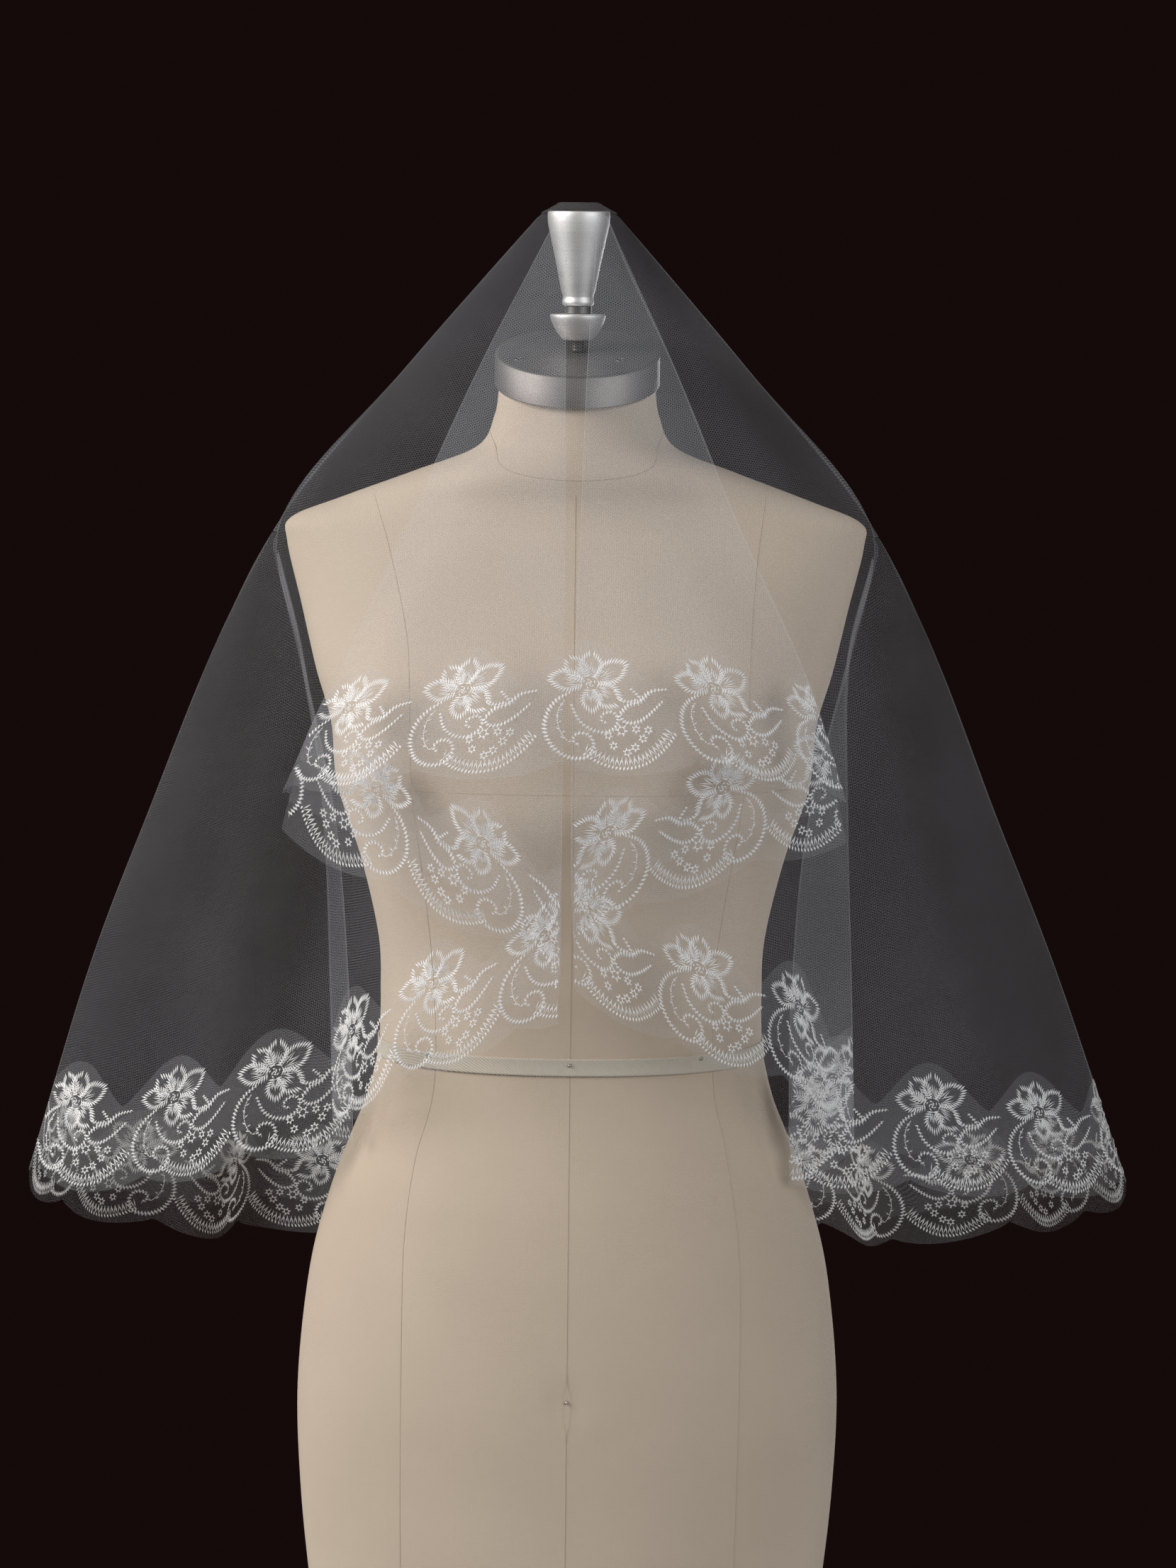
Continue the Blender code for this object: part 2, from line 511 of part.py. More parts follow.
def build_neck(metal, dark_metal):
    """Round neck plate, threaded bolt, bowl washer and tapered knob."""
    segments = 32
    points = []
    half_height = PLATE_HEIGHT / 2
    corners = [(PLATE_RADIUS - PLATE_EDGE, -half_height), (PLATE_RADIUS, PLATE_EDGE - half_height),
               (PLATE_RADIUS, half_height - PLATE_EDGE), (PLATE_RADIUS - PLATE_EDGE, half_height)]
    for radius, height in corners:
        for segment in range(segments):
            angle = math.tau * segment / segments
            x, y = radius * math.sin(angle), -radius * math.cos(angle)
            points.append((x, y, PLATE_CENTRE + height + y * TILT))
    faces = [tuple(range(segments)), tuple(3 * segments + segment for segment in range(segments))]
    for level in range(3):
        for segment in range(segments):
            turn = (segment + 1) % segments
            faces.append((level * segments + segment, level * segments + turn,
                          (level + 1) * segments + turn, (level + 1) * segments + segment))
    add_solid("neck_plate", points, faces, metal)

    profile = [(BOLT_RADIUS, BOLT_BOTTOM)]
    height = BOLT_BOTTOM + THREAD_PITCH
    while height < COLLAR_BOTTOM - THREAD_PITCH:
        profile += [(THREAD_RADIUS, height), (BOLT_RADIUS, height + THREAD_PITCH / 2)]
        height += THREAD_PITCH
    profile += [(BOLT_RADIUS, COLLAR_BOTTOM), (COLLAR_RADIUS, COLLAR_BOTTOM), (COLLAR_RADIUS, BOLT_TOP)]
    add_turned("neck_bolt", profile, dark_metal, 16, lean_bottom=True)
    add_turned("bowl_washer", BOWL_PROFILE, metal, 24, hollow=True)
    add_turned("neck_knob", KNOB_PROFILE, metal, 24)


def build_stand(metal):
    top = TORSO_SECTIONS[-1][0] - SEAM_GAP
    add_turned("stand_pole", [(POLE_RADIUS, BASE_HEIGHT + SEAM_GAP), (POLE_RADIUS, top)], metal, 24)
    edge = 0.003
    profile = [(BASE_RADIUS, 0.0), (BASE_RADIUS, BASE_HEIGHT - edge), (BASE_RADIUS - edge, BASE_HEIGHT)]
    add_turned("stand_base", profile, metal, 48)


def main():
    clear_scene()
    tulle = make_material("tulle", (0.86, 0.87, 0.88), 0.75, 0.0)
    lace = make_material("lace", (0.92, 0.92, 0.93), 0.55, 0.0)
    cover = make_material("form_cover", (0.578, 0.491, 0.366), 0.9, 0.0)
    tape = make_material("waist_tape", (0.66, 0.58, 0.45), 0.85, 0.0)
    steel = make_material("satin_steel", (0.62, 0.62, 0.61), 0.32, 1.0)
    dark_steel = make_material("dark_steel", (0.20, 0.20, 0.20), 0.45, 1.0)
    stand_paint = make_material("stand_paint", (0.30, 0.30, 0.30), 0.5, 0.6)
    build_veil(tulle, lace)
    build_back(tulle, lace)
    build_crown(tulle)
    build_torso(cover)
    build_waist_tape(tape)
    build_neck(steel, dark_steel)
    build_stand(stand_paint)


main()
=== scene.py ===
import math

import bmesh
import bpy
import numpy as np
from mathutils import Matrix, Vector


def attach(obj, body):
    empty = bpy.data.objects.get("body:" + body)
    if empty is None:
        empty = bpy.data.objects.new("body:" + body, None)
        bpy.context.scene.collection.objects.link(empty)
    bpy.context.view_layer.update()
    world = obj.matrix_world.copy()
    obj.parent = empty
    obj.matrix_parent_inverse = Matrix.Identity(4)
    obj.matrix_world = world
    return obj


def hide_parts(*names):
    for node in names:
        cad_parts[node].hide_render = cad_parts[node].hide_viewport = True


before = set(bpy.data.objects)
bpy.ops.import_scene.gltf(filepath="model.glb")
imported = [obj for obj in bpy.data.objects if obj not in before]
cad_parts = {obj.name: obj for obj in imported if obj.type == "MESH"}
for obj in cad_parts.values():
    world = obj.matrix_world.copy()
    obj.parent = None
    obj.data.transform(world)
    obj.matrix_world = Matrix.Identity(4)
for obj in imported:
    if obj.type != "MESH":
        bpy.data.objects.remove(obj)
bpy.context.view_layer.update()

# Camera, floor and light.
# The eye is level with the knob, 3.2 m in front of it, and leans a little to one side.
CAMERA_PLACE = (0.0096, -3.2, 1.600)
CAMERA_DOWN = 6.6
CAMERA_ROLL = 0.6
CAMERA_LENS = 113.98


def aim(thing, target):
    turn = (Vector(target) - thing.location).to_track_quat("-Z", "Y")
    thing.rotation_euler = turn.to_euler()


def add_light(name, place, target, size, watts, colour):
    lamp = bpy.data.lights.new(name, "AREA")
    lamp.shape = "RECTANGLE"
    lamp.size, lamp.size_y = size
    lamp.energy = watts
    lamp.color = colour
    light = bpy.data.objects.new(name, lamp)
    light.location = place
    bpy.context.scene.collection.objects.link(light)
    aim(light, target)
    return light


lens = bpy.data.cameras.new("camera")
lens.lens = CAMERA_LENS
lens.sensor_width = 36.0
camera = bpy.data.objects.new("camera", lens)
camera.matrix_world = (Matrix.Translation(CAMERA_PLACE)
                       @ Matrix.Rotation(math.radians(90.0 - CAMERA_DOWN), 4, "X")
                       @ Matrix.Rotation(math.radians(CAMERA_ROLL), 4, "Z"))
bpy.context.scene.collection.objects.link(camera)
bpy.context.scene.camera = camera
bpy.context.scene.view_settings.view_transform = "Standard"
bpy.context.scene.cycles.transparent_max_bounces = 24

add_light("key_softbox", (-2.76, -1.16, 2.65), (0.0, 0.0, 1.15), (2.2, 2.2), 113.0, (1.0, 0.975, 0.95))
add_light("fill_softbox", (2.4, -2.4, 2.3), (0.0, 0.0, 1.2), (2.4, 2.4), 60.0, (0.96, 0.98, 1.0))
add_light("back_softbox", (0.8, 2.8, 0.9), (0.0, 0.0, 1.2), (1.6, 1.2), 24.0, (1.0, 1.0, 1.0))

world = bpy.data.worlds.new("studio")
bpy.context.scene.world = world
world.use_nodes = True
world.node_tree.nodes["Background"].inputs["Color"].default_value = (0.0072, 0.0032, 0.0030, 1.0)
world.node_tree.nodes["Background"].inputs["Strength"].default_value = 1.0


class Wire:
    """A node socket that arithmetic can be done on."""

    def __init__(self, tree, socket):
        self.tree, self.socket = tree, socket

    def node(self, kind, inputs, output=0, **settings):
        made = self.tree.nodes.new(kind)
        for key, value in settings.items():
            setattr(made, key, value)
        for key, value in inputs.items():
            if isinstance(value, Wire):
                self.tree.links.new(value.socket, made.inputs[key])
            else:
                made.inputs[key].default_value = value
        return Wire(self.tree, made.outputs[output])

    def maths(self, operation, *values):
        return self.node("ShaderNodeMath", dict(enumerate(values)), operation=operation)

    def __add__(self, other):
        return self.maths("ADD", self, other)

    def __radd__(self, other):
        return self.maths("ADD", other, self)

    def __sub__(self, other):
        return self.maths("SUBTRACT", self, other)

    def __rsub__(self, other):
        return self.maths("SUBTRACT", other, self)

    def __mul__(self, other):
        return self.maths("MULTIPLY", self, other)

    def __rmul__(self, other):
        return self.maths("MULTIPLY", other, self)

    def between(self, low, high, to_low=0.0, to_high=1.0):
        values = {"Value": self, "From Min": low, "From Max": high, "To Min": to_low, "To Max": to_high}
        return self.node("ShaderNodeMapRange", values)

    def mix(self, first, second):
        """Colour between two others, with this wire as the share of the second."""
        return self.node("ShaderNodeMix", {0: self, 6: first, 7: second}, 2, data_type="RGBA")


class Surface:
    """A new material with its Principled shader and the wires into it."""

    def __init__(self, name, slot, **values):
        self.material = bpy.data.materials.new(name)
        self.material.use_nodes = True
        self.slot = slot
        self.tree = self.material.node_tree
        self.shader = self.tree.nodes["Principled BSDF"]
        for key, value in values.items():
            self.feed(key.replace("_", " "), value)

    def feed(self, key, value):
        if isinstance(value, Wire):
            self.tree.links.new(value.socket, self.shader.inputs[key])
        else:
            self.shader.inputs[key].default_value = value

    def wire(self, kind, inputs=None, output=0, **settings):
        return Wire(self.tree, None).node(kind, inputs or {}, output, **settings)

    def place(self):
        return self.wire("ShaderNodeTexCoord", output="Object")

    def noise(self, vector, scale, detail=3.0):
        return self.wire("ShaderNodeTexNoise", {"Vector": vector, "Scale": scale, "Detail": detail})

    def bump(self, height, strength, distance):
        values = {"Height": height, "Strength": strength, "Distance": distance}
        self.feed("Normal", self.wire("ShaderNodeBump", values))


def colour(red, green, blue):
    return (red, green, blue, 1.0)


def add_mesh(name, points, faces, surface, cad_nodes=(), smooth=True, uvs=None):
    """A piece of the object that rides on the frame and stands for its CAD nodes."""
    mesh = bpy.data.meshes.new(name)
    mesh.from_pydata(np.asarray(points, float).tolist(), [], faces)
    mesh.validate()
    mesh.polygons.foreach_set("use_smooth", [smooth] * len(mesh.polygons))
    if uvs is not None:
        corners = np.empty(len(mesh.loops), dtype=np.int64)
        mesh.loops.foreach_get("vertex_index", corners)
        layer = mesh.uv_layers.new(name="cloth_metres")
        layer.data.foreach_set("uv", np.asarray(uvs, float)[corners].ravel())
    mesh.materials.append(surface.material)
    piece = bpy.data.objects.new(name, mesh)
    bpy.context.scene.collection.objects.link(piece)
    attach(piece, "root")
    if cad_nodes:
        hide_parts(*cad_nodes)
    return piece


def grid_faces(columns, rows, wrap=False, first=0):
    """Four-sided faces of a grid whose points run down each column in turn."""
    faces = []
    for column in range(columns if wrap else columns - 1):
        following = (column + 1) % columns
        for row in range(rows - 1):
            near, far = first + column * rows + row, first + following * rows + row
            faces.append((near, near + 1, far + 1, far))
    return faces


floor_mesh = bpy.data.meshes.new("floor")
floor_round = [(1.5 * math.cos(turn), 1.5 * math.sin(turn), 0.0) for turn in np.linspace(0, math.tau, 97)[:-1]]
floor_mesh.from_pydata(floor_round, [], [tuple(range(96))])
floor = bpy.data.objects.new("floor", floor_mesh)
bpy.context.scene.collection.objects.link(floor)
floor_paint = Surface("floor_paint", None, Roughness=0.9)
floor_paint.feed("Base Color", floor_paint.noise(floor_paint.place(), 3.0).mix(colour(0.62, 0.62, 0.62),
                                                                              colour(0.66, 0.66, 0.66)))
floor_mesh.materials.append(floor_paint.material)


# Torso of the dress form.
# A padded body, smooth and limbless, with a woven cover sewn from shaped panels whose seams
# run over the bust and down each side of the front.
def smooth(points, places):
    """Points on the smooth curve through a list, at places counted in its points."""
    points = np.asarray(points, float)
    last = len(points) - 1
    places = np.clip(np.asarray(places, float), 0.0, last)
    start = np.minimum(places.astype(int), last - 1)
    share = (places - start).reshape((-1,) + (1,) * (points.ndim - 1))
    padded = np.concatenate([[2 * points[0] - points[1]], points, [2 * points[-1] - points[-2]]])
    before, near, far, after = (padded[start + step] for step in range(4))
    square, cube = share ** 2, share ** 3
    return ((2 * cube - 3 * square + 1) * near + (cube - 2 * square + share) * (far - before) / 2
            + (3 * square - 2 * cube) * far + (cube - square) * (after - near) / 2)


TORSO_SECTIONS = [
    # z, half_width, front_y, back_y, roundness
    (1.4876, 0.0500, -0.0480, 0.0480, 2.0),
    (1.4680, 0.0530, -0.0500, 0.0520, 2.0),
    (1.4480, 0.0640, -0.0540, 0.0580, 2.0),
    (1.4320, 0.1040, -0.0560, 0.0640, 2.0),
    (1.4150, 0.1500, -0.0540, 0.0690, 1.7),
    (1.4010, 0.1838, -0.0560, 0.0740, 1.6),
    (1.3850, 0.1860, -0.0620, 0.0800, 1.7),
    (1.3450, 0.1765, -0.0780, 0.0880, 2.1),
    (1.3050, 0.1670, -0.0980, 0.0930, 2.4),
    (1.2700, 0.1570, -0.1140, 0.0960, 2.3),
    (1.2300, 0.1530, -0.1230, 0.0970, 2.2),
    (1.1810, 0.1370, -0.1120, 0.0910, 2.2),
    (1.1300, 0.1255, -0.1000, 0.0840, 2.2),
    (1.0930, 0.1240, -0.0955, 0.0785, 2.2),
    (1.0650, 0.1245, -0.0943, 0.0776, 2.2),
    (1.0540, 0.1255, -0.0948, 0.0782, 2.2),
    (1.0250, 0.1325, -0.0970, 0.0815, 2.2),
    (0.9960, 0.1440, -0.1000, 0.0890, 2.2),
    (0.9600, 0.1570, -0.1040, 0.1030, 2.2),
    (0.9100, 0.1695, -0.1070, 0.1160, 2.2),
    (0.8350, 0.1770, -0.1060, 0.1230, 2.2),
    (0.7650, 0.1750, -0.1000, 0.1200, 2.2),
    (0.6950, 0.1680, -0.0940, 0.1120, 2.2),
    (0.6400, 0.1600, -0.0890, 0.1040, 2.2),
    (0.6300, 0.1540, -0.0840, 0.0980, 2.2),
]
NECK_TILT = math.tan(math.radians(15.0))
TORSO_LEVELS = smooth(TORSO_SECTIONS, np.linspace(0, len(TORSO_SECTIONS) - 1, 231))


def section_at(height):
    """Half width, front, back and roundness of the torso at a height."""
    order = TORSO_LEVELS[::-1]
    return [np.interp(height, order[:, 0], order[:, column]) for column in range(1, 5)]


def front_point(x, height, proud=0.0):
    """Point on the torso's front at a width and a height."""
    half, front, _, power = section_at(height)
    share = min(abs(x) / half, 0.999)
    y = front * (1 - share ** power) ** (1 / power)
    away = Vector((x / half ** 2, y / front ** 2, 0.0)).normalized()
    return Vector((x, y, height)) + away * proud


def torso_mesh(columns):
    angles = np.linspace(0, math.tau, columns, endpoint=False)
    sine, cosine = np.sin(angles), -np.cos(angles)
    points = np.empty((columns, len(TORSO_LEVELS), 3))
    for row, (height, half, front, back, power) in enumerate(TORSO_LEVELS):
        reach = np.where(cosine < 0, -front, back)
        points[:, row, 0] = np.sign(sine) * np.abs(sine) ** (2 / power) * half
        points[:, row, 1] = np.sign(cosine) * np.abs(cosine) ** (2 / power) * reach
        lean = NECK_TILT * max(0.0, 1 - row / 20.0)
        points[:, row, 2] = height + points[:, row, 1] * lean
    dimple = np.hypot(points[..., 0] - 0.0, (points[..., 2] - 0.845) * 0.8)
    front_side = points[..., 1] < 0
    points[..., 1] += np.where(front_side, 0.0024 * np.exp(-(dimple / 0.007) ** 2), 0.0)
    for place, depth, slope in ((-0.011, 0.0007, 0.9), (0.012, 0.0008, -0.8), (-0.026, 0.0005, 0.5)):
        crease = points[..., 0] - place - (0.845 - points[..., 2]) * slope
        fade = np.exp(-((points[..., 2] - 0.833) / 0.020) ** 2)
        points[..., 1] += np.where(front_side, depth * fade * np.exp(-(crease / 0.004) ** 2), 0.0)
    return points


cover = Surface("form_cover", "form_cover", Roughness=0.93, Sheen_Weight=0.12, Sheen_Roughness=0.6)
cover_place = cover.place()
weft = cover.wire("ShaderNodeTexWave", {"Vector": cover_place, "Scale": 420.0, "Distortion": 1.2, "Detail": 1.0},
                  1, bands_direction="Z")
warp = cover.wire("ShaderNodeTexWave", {"Vector": cover_place, "Scale": 420.0, "Distortion": 1.2, "Detail": 1.0},
                  1, bands_direction="X")
slub = cover.noise(cover_place, 900.0, 2.0)
cloudy = cover.noise(cover_place, 9.0, 5.0)
cover_colour = cloudy.between(0.3, 0.7).mix(colour(0.61, 0.500, 0.388), colour(0.675, 0.558, 0.436))
cover.feed("Base Color", (weft * warp * 0.30 + slub * 0.20).between(0.0, 0.6).mix(
    cover_colour, (cloudy.between(0.3, 0.7)).mix(colour(0.71, 0.59, 0.47), colour(0.74, 0.62, 0.50))))
cover.bump((weft + warp) * 0.4 + slub * 0.6 + cloudy * 4.0, 0.32, 0.0006)

torso_points = torso_mesh(144)
torso_rows = torso_points.shape[1]
torso_faces = grid_faces(144, torso_rows, wrap=True)
torso_faces += [tuple(column * torso_rows for column in range(143, -1, -1)),
                tuple(column * torso_rows + torso_rows - 1 for column in range(144))]
add_mesh("torso_cover", torso_points.reshape(-1, 3), torso_faces, cover, ["form_torso"])


def add_tube(name, path, radius, surface, sides=6):
    """Fine round tube along a path."""
    path = np.asarray(path, float)
    along = np.gradient(path, axis=0)
    along /= np.linalg.norm(along, axis=1, keepdims=True)
    side = np.cross(along, (0.0, 1.0, 0.02))
    side /= np.linalg.norm(side, axis=1, keepdims=True)
    up = np.cross(side, along)
    rings = [path + radius * (math.cos(turn) * side + math.sin(turn) * up)
             for turn in np.linspace(0, math.tau, sides, endpoint=False)]
    count = len(path)
    faces = grid_faces(sides, count, wrap=True)
    faces += [tuple(turn * count for turn in range(sides)),
              tuple(turn * count + count - 1 for turn in range(sides - 1, -1, -1))]
    return add_mesh(name, np.concatenate(rings), faces, surface)


# Seams of the cover.
# The panels of the cover meet in plain seams pressed flat, which show as a thin sunk line; its shade is painted as a
# fine tube darker than the cover.
painted_seam_shade = Surface("seam_shadow", "form_cover", Roughness=0.95)
seam_place = painted_seam_shade.place()
painted_seam_shade.feed("Base Color", painted_seam_shade.noise(seam_place, 400.0).mix(colour(0.50, 0.41, 0.31),
                                                                      colour(0.60, 0.495, 0.38)))
FRONT_SEAMS = {
    "seam_shade_left": [(-0.1300, 1.4205), (-0.1185, 1.385), (-0.1066, 1.335), (-0.1037, 1.302), (-0.101, 1.235),
                  (-0.089, 1.130), (-0.0863, 1.047), (-0.0985, 0.995), (-0.1046, 0.9475), (-0.1060, 0.887),
                  (-0.1062, 0.738), (-0.102, 0.634)],
    "seam_shade_right": [(0.122, 1.423), (0.1150, 1.372), (0.1113, 1.318), (0.108, 1.235), (0.093, 1.130),
                   (0.0916, 1.047), (0.0993, 1.007), (0.1082, 0.9475), (0.1105, 0.887), (0.1088, 0.738),
                   (0.104, 0.634)],
    "seam_shade_centre": [(0.000, 1.420), (0.000, 1.350), (0.0005, 1.200), (0.0, 1.045), (0.0, 0.950), (0.0, 0.812),
                    (0.0, 0.700), (0.0, 0.634)],
}
# Painted shade: the sunk line of each seam, here and at the bust and neck below, is a fine dark tube laid on the cover.
for seam_name, seam_points in FRONT_SEAMS.items():
    seam_line = smooth(seam_points, np.linspace(0, len(seam_points) - 1, 120))
    seam_path = [front_point(x, height, 0.00005) for x, height in seam_line]
    add_tube(seam_name, seam_path, 0.00016, painted_seam_shade)
bust_path = [front_point(x, 1.2365 - 0.10 * x * x, 0.00005) for x in np.linspace(-0.150, 0.150, 90)]
add_tube("seam_shade_bust", bust_path, 0.00013, painted_seam_shade)
neck_path = []
for turn in np.linspace(-math.pi, math.pi, 180):
    height = 1.4295 + 0.029 * math.sin(min(abs(turn), math.pi / 2)) ** 2
    half, front, back, power = section_at(height)
    side, depth = math.sin(turn), -math.cos(turn)
    reach = -front if depth < 0 else back
    y = math.copysign(abs(depth) ** (2 / power), depth) * (reach + 0.00005)
    lean = NECK_TILT * max(0.0, (height - 1.448) / 0.0396)
    neck_path.append((math.copysign(abs(side) ** (2 / power), side) * (half + 0.00005), y, height + y * lean))
add_tube("seam_shade_neck", neck_path, 0.00022, painted_seam_shade)


# Waist tape.
# A length of narrow cotton twill tape laid round the waist and held with pins.
tape_cloth = Surface("waist_tape", "waist_tape", Roughness=0.9)
tape_place = tape_cloth.place()
twill = tape_cloth.wire("ShaderNodeTexWave", {"Vector": tape_place, "Scale": 330.0, "Distortion": 0.6}, 1,
                        bands_direction="DIAGONAL")
tape_cloth.feed("Base Color", twill.mix(colour(0.58, 0.52, 0.43), colour(0.72, 0.66, 0.56)))
tape_cloth.bump(twill, 0.5, 0.0004)
TAPE_MIDDLE, TAPE_HALF = 1.0595, 0.0055
tape_points = []
tape_profile = [(-TAPE_HALF, 0.0004), (-TAPE_HALF, 0.0013), (-TAPE_HALF * 0.8, 0.0011), (0.0, 0.0012),
                (TAPE_HALF * 0.8, 0.0011), (TAPE_HALF, 0.0013), (TAPE_HALF, 0.0004)]
for turn in np.linspace(0, math.tau, 160, endpoint=False):
    for rise, proud in tape_profile:
        half, front, back, power = section_at(TAPE_MIDDLE + rise)
        side, depth = math.sin(turn), -math.cos(turn)
        reach = (-front if depth < 0 else back) + proud
        tape_points.append((math.copysign(abs(side) ** (2 / power), side) * (half + proud),
                            math.copysign(abs(depth) ** (2 / power), depth) * reach, TAPE_MIDDLE + rise))
tape_faces = grid_faces(160, 7, wrap=True)
tape_faces += [(column * 7 + 6, column * 7, (column + 1) % 160 * 7, (column + 1) % 160 * 7 + 6)
               for column in range(160)]
add_mesh("tape_band", tape_points, tape_faces, tape_cloth, ["waist_tape"])


# Pins.
# Steel dressmaker's pins, whose small round heads hold the tape and mark the hip line.
pin_steel = Surface("pin_steel", "satin_steel", Metallic=1.0, Roughness=0.3)
pin_steel.feed("Base Color", pin_steel.noise(pin_steel.place(), 300.0).mix(colour(0.38, 0.35, 0.32),
                                                                         colour(0.55, 0.52, 0.48)))


def add_ball(name, centre, radius, surface):
    builder = bmesh.new()
    bmesh.ops.create_icosphere(builder, subdivisions=2, radius=radius)
    points = [vertex.co + Vector(centre) for vertex in builder.verts]
    faces = [[vertex.index for vertex in face.verts] for face in builder.faces]
    builder.free()
    return add_mesh(name, [tuple(point) for point in points], faces, surface)


for pin_name, pin_x, pin_z, pin_proud in (("pin_left", -0.090, 1.0625, 0.0015), ("pin_middle", 0.0, 1.0610, 0.0015),
                                          ("pin_right", 0.083, 1.0630, 0.0015), ("pin_hip", 0.0, 0.8450, -0.0012)):
    add_ball(pin_name, front_point(pin_x, pin_z, pin_proud), 0.0013, pin_steel)


# Neck plate, washer, bolt and knob.
# Turned and satin-brushed steel: a capped plate on the sloping neck, a threaded bolt through a
# bowl-shaped washer, and a tapered knob with a rolled lip at its foot.
def add_turned(name, profile, surface, cad_nodes=(), segments=96, lean=0.0, hollow=False):
    points = []
    for turn in np.linspace(0, math.tau, segments, endpoint=False):
        for radius, height in profile:
            x, y = radius * math.sin(turn), -radius * math.cos(turn)
            points.append((x, y, height + y * lean))
    count = len(profile)
    faces = grid_faces(segments, count, wrap=True)
    if hollow:
        faces += [(column * count + count - 1, column * count, (column + 1) % segments * count,
                   (column + 1) % segments * count + count - 1) for column in range(segments)]
    else:
        faces += [tuple(column * count for column in range(segments - 1, -1, -1)),
                  tuple(column * count + count - 1 for column in range(segments))]
    piece = add_mesh(name, points, faces, surface, cad_nodes)
    piece.modifiers.new("edges", "EDGE_SPLIT").split_angle = math.radians(38.0)
    return piece


def turned_steel(name, slot, dark, bright, roughness):
    """Steel brushed in fine rings round its axis."""
    metal = Surface(name, slot, Metallic=1.0)
    place = metal.place()
    squeezed = metal.wire("ShaderNodeVectorMath", {0: place, 1: (3.0, 3.0, 260.0)}, operation="MULTIPLY")
    rings = metal.noise(squeezed, 9.0, 4.0)
    smudge = metal.noise(place, 45.0, 4.0)
    metal.feed("Base Color", rings.mix(dark, bright))
    metal.feed("Roughness", rings * 0.10 + smudge * 0.16 + roughness)
    metal.bump(rings, 0.12, 0.0002)
    return metal


# One satin steel in two copies: the plate's is painted dark as the shade and dark reflection it shows, and the knob and
# washer's is painted light as their bright reflection.
steel_painted_shade = turned_steel("satin_steel", "satin_steel", colour(0.24, 0.222, 0.21), colour(0.34, 0.31, 0.295), 0.42)
steel_painted_light = turned_steel("steel_painted_light", "satin_steel", colour(0.84, 0.83, 0.82), colour(0.95, 0.94, 0.93), 0.44)
dark_steel = turned_steel("dark_steel", "dark_steel", colour(0.10, 0.10, 0.10), colour(0.20, 0.19, 0.18), 0.35)
KNOB_SHAPE = [(0.0010, 1.5384), (0.0085, 1.5384), (0.0096, 1.5389), (0.0102, 1.5400), (0.0103, 1.5413),
              (0.0101, 1.5424), (0.0097, 1.5434), (0.0099, 1.5448), (0.0110, 1.5485), (0.0145, 1.5665),
              (0.0180, 1.5825), (0.0198, 1.5910), (0.0201, 1.5957), (0.0200, 1.5975), (0.0196, 1.5987),
              (0.0188, 1.5991), (0.0010, 1.5991)]
BOWL_SHAPE = [(0.0048, 1.5168), (0.0085, 1.5166), (0.0098, 1.5172), (0.0108, 1.5184), (0.0124, 1.5203),
              (0.0138, 1.5224), (0.0151, 1.5246), (0.0162, 1.5268), (0.0170, 1.5286), (0.0176, 1.5304),
              (0.0179, 1.5322), (0.0178, 1.5328), (0.0174, 1.5332), (0.0110, 1.5335), (0.0048, 1.5335)]
add_turned("knob", KNOB_SHAPE[::-1], steel_painted_light, ["neck_knob"])
add_turned("bowl", BOWL_SHAPE[::-1], steel_painted_light, ["bowl_washer"], hollow=True)
thread_shape = [(0.0088, 1.5381), (0.0088, 1.5338), (0.0036, 1.5338)]
for step in range(22):
    thread_shape.append((0.0043 if step % 2 else 0.0036, 1.5332 - step * 0.0011))
thread_shape.append((0.0036, 1.5093))
add_turned("bolt", thread_shape, dark_steel, ["neck_bolt"], segments=32)
PLATE_SHAPE = [(0.0505, 1.5090), (0.0522, 1.5086), (0.0530, 1.5076), (0.0530, 1.4892), (0.0524, 1.4884),
               (0.0512, 1.4881)]
add_turned("plate", PLATE_SHAPE, steel_painted_shade, ["neck_plate"], lean=NECK_TILT, segments=128)
for screw_name, screw_x in (("plate_screw_left", -0.0375), ("plate_screw_right", 0.0275)):
    screw_y = -0.016
    head = [(0.0030, 1.5094), (0.0034, 1.5091), (0.0034, 1.5087)]
    screw = [(screw_x + radius * math.sin(turn), screw_y - radius * math.cos(turn),
              height + (screw_y - radius * math.cos(turn)) * NECK_TILT)
             for turn in np.linspace(0, math.tau, 24, endpoint=False) for radius, height in head]
    screw_faces = grid_faces(24, 3, wrap=True) + [tuple(column * 3 for column in range(23, -1, -1)),
                                                  tuple(column * 3 + 2 for column in range(24))]
    add_mesh(screw_name, screw, screw_faces, dark_steel)


# Stand.
# A steel pole and a round steel foot in plain grey paint, below what the photograph shows.
stand_paint = Surface("stand_paint", "stand_paint", Metallic=0.4)
stand_place = stand_paint.place()
stand_paint.feed("Base Color", stand_paint.noise(stand_place, 30.0, 5.0).mix(colour(0.20, 0.20, 0.20),
                                                                            colour(0.26, 0.26, 0.26)))
stand_paint.feed("Roughness", stand_paint.noise(stand_place, 80.0, 4.0).between(0.3, 0.7, 0.38, 0.55))
stand_paint.bump(stand_paint.noise(stand_place, 700.0), 0.15, 0.0003)
add_turned("pole", [(0.016, 0.6297), (0.016, 0.0123)], stand_paint, ["stand_pole"])
add_turned("foot", [(0.150, 0.0120), (0.197, 0.0120), (0.1985, 0.0112), (0.1997, 0.0102), (0.200, 0.0090),
                    (0.200, 0.0)], stand_paint, ["stand_base"], segments=128)


